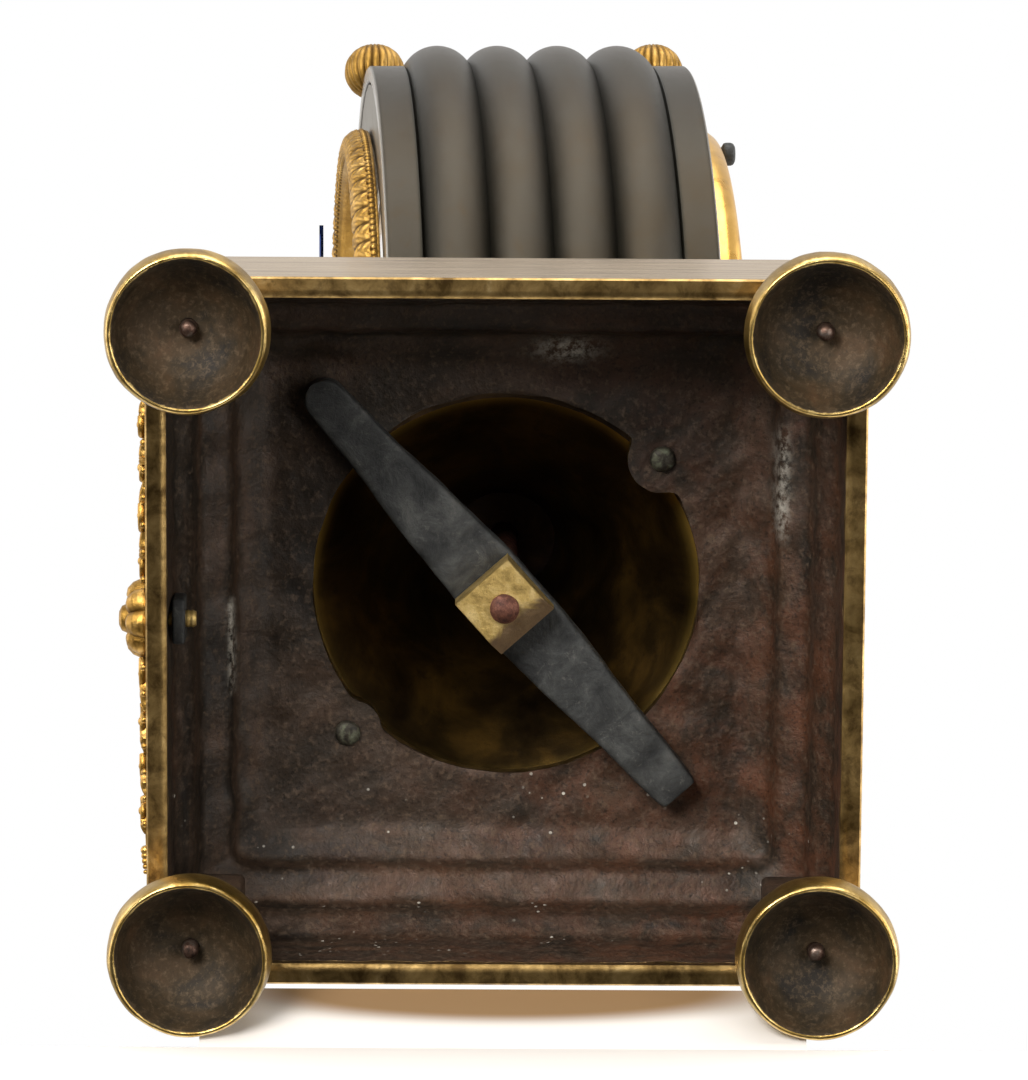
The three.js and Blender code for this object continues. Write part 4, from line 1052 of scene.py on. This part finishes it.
aged_gilding = aged.shade(Base_Color=honey, Metallic=1.0, Roughness=aged.span(cloudy, 0.3, 0.7, 0.22, 0.38))
made = skin("spun_rear_door", [(on_head(local), True, False), *hinge_patches], aged_gilding, 40)
piece(made, "rear_cover", "gilt", "rear_door")
knob_profile = eased_profile(
    [
        (0.0, 36.4), (1.1, 36.4), (1.1, 38.0), (1.6, 38.4), (2.15, 38.7), (2.3, 39.2), (2.3, 40.1), (2.1, 40.6),
        (1.5, 40.95), (0.0, 41.0),
    ],
    0.2, 1,
)
piece(
    skin("door_knob", [(on_head(faced(knob_profile, 36, (62, 0))), True, False)], forged_iron, 40), "rear_cover",
    "iron", "rear_door_knob",
)

# ---- frieze mount, its stud and nut ----
# A chased gilt spray screwed to the front band: a rosette between two runs of scrolled
# leaves with small berries. A brass stud and an iron nut hold it from inside the wall.
BAND_FACE = -HALF - 0.3
FRIEZE_Z = 29.15


def begun(loops):
    """Loops along a tube, its start closed by one more loop drawn in to the middle of the first. Its end stays
    open."""
    start = np.repeat(loops[:1].mean(1, keepdims=True), loops.shape[1], 1)
    return np.concatenate([start, loops], 0)


def leaf(root, tip, width, lift, lobes=0):
    """A pointed leaf from root to tip, both (x, z): its half-width swells as a sine and may be lobed, its middle
    stands lift off the band, and its underside is flat."""
    root, tip = np.array(root, float), np.array(tip, float)
    way = tip - root
    length = np.linalg.norm(way)
    way, cross = way / length, np.array([-way[1], way[0]]) / length
    t = np.linspace(0, 1, 22)[:, None]
    v = np.linspace(-1, 1, 11)[None]
    lobed = 1 + 0.22 * np.cos(t * lobes * 2 * np.pi) * (lobes > 0)
    half = width * np.sin(np.pi * np.clip(t, 0, 1) ** 0.75) * lobed + 0.05
    flat = root + way * (t * length)[..., None] + cross * (half * v)[..., None]
    rib = lift * (0.25 + 0.75 * np.sin(np.pi * (0.12 + 0.8 * t))) * (1 - v**2) ** 0.5
    rib = rib * (1 - 0.35 * np.exp(-((v / 0.16) ** 2)))
    front = np.stack([flat[..., 0], BAND_FACE - 0.25 - rib, flat[..., 1]], -1)
    back = np.stack([flat[..., 0], np.full(rib.shape, BAND_FACE), flat[..., 1]], -1)[:, ::-1]
    loop = np.concatenate([front, back[:, 0:1], back[:, -1:]], 1)
    return begun(loop), 1 - (1 - v**2) ** 0.5 * np.ones_like(t)


def berry(x, z, radius, lift):
    """A half-sunk ball on the band."""
    t = np.linspace(0, np.pi, 9)
    profile = np.column_stack([np.sin(t) * radius, -np.cos(t) * radius])
    return faced(profile, 14, (x, z)) + np.array([0, BAND_FACE - lift, 0])


def scroll(x, z, size, way, lift):
    """A tendril tube along a spiral that winds in from its start to an eye, thinning as it goes."""
    t = np.linspace(0, 1, 44)
    angle = way * (np.pi * 2.6 * t + 0.6)
    reach = size * (1 - 0.86 * t)
    line = np.column_stack([x + reach * np.cos(angle), z + reach * np.sin(angle)])
    along_line = np.gradient(line, axis=0)
    along_line /= np.linalg.norm(along_line, axis=1, keepdims=True)
    cross = np.column_stack([-along_line[:, 1], along_line[:, 0]])
    thick = (0.62 - 0.30 * t)[:, None]
    ring = np.linspace(0, 2 * np.pi, 10, endpoint=False)[None]
    tube = np.stack([
        line[:, None, 0] + cross[:, None, 0] * np.cos(ring) * thick,
        BAND_FACE - lift + np.sin(ring) * thick * 1.1,
        line[:, None, 1] + cross[:, None, 1] * np.cos(ring) * thick,
    ], -1)
    return begun(tube)


patches, shadows = [], []


def put(grid, rows_join, columns_join, shadow=0.0):
    """Adds a patch to the mount, with how deep its points lie in shadow of the chasing."""
    patches.append((grid, rows_join, columns_join))
    shadows.append(np.broadcast_to(shadow, grid.shape[:2]).ravel())


for sx in (-1, 1):
    for k, at in enumerate((9.5, 17.5, 25.5, 33.0)):
        size = 4.3 - 0.55 * k
        up = 1 if k % 2 == 0 else -1
        put(scroll(sx * at, FRIEZE_Z + up * 0.6, size * 0.78, sx * up, 0.95), False, True, 0.15)
        put(berry(sx * (at + 0.2), FRIEZE_Z + up * 0.6, 0.95, 0.9), True, False)
        for spread, reach, girth in ((62, 1.15, 1.25), (20, 1.35, 1.35), (-24, 1.2, 1.2), (-66, 0.95, 1.0)):
            a = math.radians(spread)
            root = (sx * (at + 1.2), FRIEZE_Z + 0.3 * up)
            tip = (sx * (at + 1.2 + size * reach * math.cos(a)), FRIEZE_Z + size * reach * math.sin(a))
            grid, shadow = leaf(root, tip, girth * size / 4, 1.35, 2)
            put(grid, False, True, 0.25)
    for k in range(5):
        put(berry(sx * (40.2 + 0.95 * k), FRIEZE_Z, 0.85 - 0.11 * k, 0.7), True, False)
    for row_z in (-5.0, 5.0):
        for k in range(7):
            put(berry(sx * (7.5 + 4.6 * k), FRIEZE_Z + row_z * (1 - 0.085 * k), 0.62, 0.55), True, False)
    stem = leaf((sx * 5.5, FRIEZE_Z), (sx * 41.5, FRIEZE_Z), 0.9, 0.8)[0]
    put(stem, False, True, 0.3)
PETAL_STEPS = 96
petal = np.linspace(0, 2 * np.pi, PETAL_STEPS, endpoint=False)[:, None]
rosette = np.array([(0.0, -5.0), (1.2, -4.95), (2.1, -4.5), (2.5, -3.6), (2.9, -3.3), (4.0, -3.75), (5.2, -3.5), (6.2, -2.6), (6.7, -1.5), (6.8, -0.6), (6.6, 0.0), (0.0, 0.0)])
rosette = traced(rosette, 0.3)
whorl = faced(rosette, PETAL_STEPS, (0, FRIEZE_Z))
outer = np.clip((rosette[:, 0] - 2.6) / 1.5, 0, 1)[None]
flute = (np.abs(np.cos(petal * 4)) ** 0.7) * outer
drawn_in = 1 - 0.10 * (1 - flute) * np.clip((rosette[:, 0] - 2.6) / 4, 0, 1)[None]
whorl[..., 0] *= drawn_in
whorl[..., 2] = FRIEZE_Z + (whorl[..., 2] - FRIEZE_Z) * drawn_in
whorl[..., 1] += BAND_FACE + 0.75 * (1 - flute) * outer * (rosette[:, 1] < -0.8)[None]
put(whorl, True, False, 0.7 * (1 - flute) * outer)
made = skin("frieze_spray", patches, fire_gilding, 60, hollow=np.concatenate(shadows))
piece(made, "case", "gilt", "frieze_mount")

stud_low, stud_high = (corner.y * 1000 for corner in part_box("frieze_stud"))
stud_run = np.arange(stud_low + 0.1, stud_high - 0.5, 0.2)
stud_profile = np.vstack([
    [(0.0, stud_low)],
    np.column_stack([1.45 + 0.05 * np.cos(stud_run * 2 * np.pi / 0.8), stud_run]),
    [(1.2, stud_high - 0.1), (0.0, stud_high)],
])
grid = faced(stud_profile, 24, (0, FRIEZE_Z))
made = skin("threaded_stud", [(grid, True, False)], nut_brass, 40, filed=np.zeros(24 * len(stud_profile)))
piece(made, "case", "brass", "frieze_stud")
low, high = box_mm("frieze_nut")
piece(
    skin("frieze_nut_square", [(block(low, high, 0.5), True, False)], forged_iron, 40), "case", "iron",
    "frieze_nut",
)

# ---- dial ----
# A convex disc of white enamel on copper, with Roman hours and a minute track painted on
# and fired, a hole for the hands, and a dark disc painted as shade where the winding square's hole would be.
DIAL_R, DIAL_BACK, DIAL_RISE = 64.0, -26.3, 4.5
rings = np.linspace(3.9, DIAL_R, 60)


def dial_face(radius):
    """The dial's front along the drum's axis at a radius: a shallow dome that falls off with the radius squared."""
    return DIAL_BACK - 1.5 - DIAL_RISE * (1 - (radius / DIAL_R) ** 2)


dial_profile = np.vstack([
    [(3.8, dial_face(3.8) + 0.25)],
    np.column_stack([rings, dial_face(rings)]),
    np.column_stack([rings[::-1], dial_face(rings[::-1]) + 1.5]),
])
local = faced(dial_profile, 180)
KEY_AT = -25.6
off = np.hypot(local[..., 0], local[..., 2] - KEY_AT)
eye = np.exp(-((off / 3.7) ** 6))
enamel = Finish("white_enamel")
milk = enamel.tones(enamel.noise(30, 3), (0.35, "#e9e4d6"), (0.65, "#f4f1e8"))
# Painted shade: a dark disc where the winding hole would be; the face is not cut there.
milk = enamel.mix(enamel.span(enamel.mark("eye"), 0.45, 0.55), milk, "#2a2118")
enamel.relief((enamel.noise(18, 2), 0.05))
white_enamel = enamel.shade(Base_Color=milk, Roughness=0.12, Coat_Weight=0.6, Coat_Roughness=0.05)
piece(
    skin("enamel_dial", [(on_head(local), True, True)], white_enamel, 40, eye=eye.ravel()), "case", "enamel",
    "dial",
)

LETTERS = {
    "I": (2.0, [((-0.1, -1), (-0.1, 1), 0.62)]),
    "V": (4.2, [((-1.5, 1), (0, -1), 0.62), ((1.5, 1), (0, -1), 0.24)]),
    "X": (4.2, [((-1.5, 1), (1.5, -1), 0.62), ((1.5, 1), (-1.5, -1), 0.24)]),
}
HOURS = ["XII", "I", "II", "III", "IIII", "V", "VI", "VII", "VIII", "IX", "X", "XI"]
NUMERAL_R, NUMERAL_HALF, SERIF_HALF = 49.0, 4.6, 0.75


def stroke(start, end, width, angle):
    """One painted stroke as a thin slab on the dome: corners given across and up the numeral are wrapped round
    the dial
    at an angle clockwise from twelve, and sunk a little into the face."""
    start, end = np.array(start, float), np.array(end, float)
    side_way = np.array([width / 2, 0]) if start[1] != end[1] else np.array([0, width / 2])
    t = np.linspace(0, 1, 4)[:, None, None]
    flat = (start + (end - start) * t) + np.array([-1, 1])[None, :, None] * side_way
    turn = angle + flat[..., 0] / NUMERAL_R
    radius = NUMERAL_R + flat[..., 1]
    across, up, face = radius * np.sin(turn), radius * np.cos(turn), dial_face(radius)
    front, back = (np.stack([across, face - lift, up], -1) for lift in (0.05, -0.1))
    loop = np.concatenate([front, back[:, ::-1]], 1)
    return begun(loop)


marks = []
for hour, letters in enumerate(HOURS):
    angle = math.radians(30 * hour)
    total = sum(LETTERS[letter][0] for letter in letters)
    pen = -total / 2
    for letter in letters:
        advance, strokes = LETTERS[letter]
        middle = pen + advance / 2
        for (ax, ay), (bx, by), width in strokes:
            start, end = (middle + ax, ay * NUMERAL_HALF), (middle + bx, by * NUMERAL_HALF)
            marks.append(stroke(start, end, width * 1.6, angle))
            for x, y in (start, end):
                marks.append(stroke((x - SERIF_HALF, y), (x + SERIF_HALF, y), 0.28, angle))
        pen += advance
for minute in range(60):
    angle = math.radians(6 * minute)
    marks.append(stroke((0, 7.0), (0, 9.2), 0.7 if minute % 5 == 0 else 0.25, angle))
painted = [(on_head(grid), False, True) for grid in marks]
for radius in (55.9, 58.3):
    face = dial_face(radius)
    band = np.array([(radius + r, face + y) for r, y in ((-0.12, 0.1), (-0.12, -0.05), (0.12, -0.05), (0.12, 0.1))])
    painted.append((on_head(faced(band, 180)), True, True))
ink = Finish("fired_black")
black_enamel = ink.shade(Base_Color=ink.tones(ink.noise(4, 3), (0.3, "#0d0c0c"), (0.7, "#1d1a19")), Roughness=0.2)
piece(skin("dial_numerals", painted, black_enamel, 30), "case", "enamel")

# ---- hands ----
# Two blued steel hands, filed thin with a ridge down the middle, each swelling to a
# leaf before its point. The minute hand's hub sits on the centre arbor.
blue = Finish("blued_steel")
heat = blue.noise(8, 4, 0.6, 0.3)
blue.relief((blue.noise(0.5, 3, 0.6, 0, blue.placed(scale=(1, 1, 0.3))), 0.01))
blued_steel = blue.shade(
    Base_Color=blue.tones(heat, (0.32, "#121a33"), (0.55, "#1d2c57"), (0.75, "#35315c")),
    Metallic=1.0,
    Roughness=blue.span(heat, 0.3, 0.7, 0.2, 0.34),
)


def hand(length, swell, y_front, y_back, bore, hub, degrees):
    """A hand's blade and hub, turned clockwise from twelve: the blade's half-width follows a slim stem, a leaf
    swell
    round a given length and a point, with its front ridged; the hub is a turned collar."""
    t = np.linspace(0, 1, 70)
    reach = hub * 0.8 + (length - hub * 0.8) * t
    slope = np.where(reach < swell, 3.0, 4.4)
    half = 0.62 - 0.28 * t + 2.1 * np.exp(-(((reach - swell) / slope) ** 2))
    half *= np.clip((length - reach) / 2.5, 0.12, 1)
    v = np.linspace(-1, 1, 7)
    ridge_y = y_front + 0.28 * np.abs(v)
    front = np.stack(
        [half[:, None] * v[None], np.repeat(ridge_y[None], 70, 0), np.repeat(reach[:, None], 7, 1)], -1,
    )
    back = front[:, ::-1][:, [0, -1]].copy()
    back[..., 1] = y_back
    loop = np.concatenate([front, back], 1)
    blade = begun(loop)
    collar = np.array([(bore, y_back), (bore, y_front + 0.1), (bore + 0.3, y_front - 0.05), (hub - 0.3, y_front), (hub, y_front + 0.25), (hub, y_back)])
    a = math.radians(degrees)
    side, y, up = blade[..., 0], blade[..., 1], blade[..., 2]
    turned = np.stack([up * math.sin(a) + side * math.cos(a), y, up * math.cos(a) - side * math.sin(a)], -1)
    return [(on_head(turned), False, True), (on_head(faced(collar, 48)), True, True)]


piece(
    skin("blued_minute_hand", hand(48, 34, -41.4, -40.6, 1.3, 3.0, 90), blued_steel, 25), "centre_arbor",
    "blued_steel", "minute_hand",
)
piece(
    skin("blued_hour_hand", hand(32, 21, -38.2, -37.4, 3.4, 4.6, 307.5), blued_steel, 25), "hour_pipe",
    "blued_steel", "hour_hand",
)

# ---- seats, hinges, cradle and movement ----
# The drum's turned seats, the hinges, the cast block under the drum, and the movement's plates,
# wheels and arbors keep their CAD shapes, each in the finish of its metal.
movement = Finish("movement_brass")
swirl = movement.noise(0.8, 4, 0.6)
old = movement.noise(11, 5, 0.6, 0.3)
movement.relief((swirl, 0.015), (movement.noise(0.8, 3), 0.015))
movement_brass = movement.shade(
    Base_Color=movement.mix(
        movement.span(old, 0.5, 0.7, 0, 0.5), movement.tones(swirl, (0.3, "#a8843e"), (0.7, "#d0ad63")), "#7d5f2c",
    ),
    Metallic=1.0,
    Roughness=movement.span(old, 0.3, 0.7, 0.24, 0.4),
)
polish = Finish("polished_steel")
line = polish.noise(1, 3, 0.5, 0, polish.placed(scale=(1.0, 0.1, 1.0)))
polish.relief((line, 0.01))
polished_steel = polish.shade(
    Base_Color=polish.tones(line, (0.3, "#83837f"), (0.7, "#b4b3ae")),
    Metallic=1.0,
    Roughness=polish.span(polish.noise(5, 3), 0.3, 0.7, 0.2, 0.36),
)
plain = Finish("cradle_bronze")
mottled = plain.noise(12, 5, 0.6, 0.5)
plain.relief((plain.noise(4, 5, 0.65), 0.2), (plain.noise(1, 3), 0.05))
cradle_bronze = plain.shade(
    Base_Color=plain.tones(mottled, (0.3, "#2a1e16"), (0.5, "#45301f"), (0.72, "#6a4c2e")),
    Metallic=0.8,
    Roughness=plain.span(mottled, 0.3, 0.7, 0.38, 0.6),
)
ring = Finish("seat_bronze")
grained = ring.noise(0.9, 4, 0.62)
ring.relief((grained, 0.03), (ring.noise(5, 4), 0.05))
seat_bronze = ring.shade(
    Base_Color=ring.mix(
        ring.span(ring.noise(22, 5, 0.6, 0.4), 0.42, 0.68, 0, 0.6),
        ring.tones(grained, (0.3, "#5b554c"), (0.7, "#908a7f")), "#57472f",
    ),
    Metallic=0.9,
    Roughness=ring.span(grained, 0.3, 0.7, 0.32, 0.48),
)
carried = {
    "dial_seat": seat_bronze,
    "rear_seat": seat_bronze,
    "cradle": cradle_bronze,
    "drum_nut": dull_steel,
    "click": polished_steel,
    "click_screw": blued_steel,
    "winding_arbor": polished_steel,
    "pallet_arbor": polished_steel,
    "minute_wheel_stud": polished_steel,
    "bezel_hinge_pin": polished_steel,
    "rear_door_hinge_pin": polished_steel,
}
for name, node in frame["nodes"].items():
    if node.hide_render:
        continue
    for holder in node.material_slots:
        holder.material = carried.get(name, movement_brass)
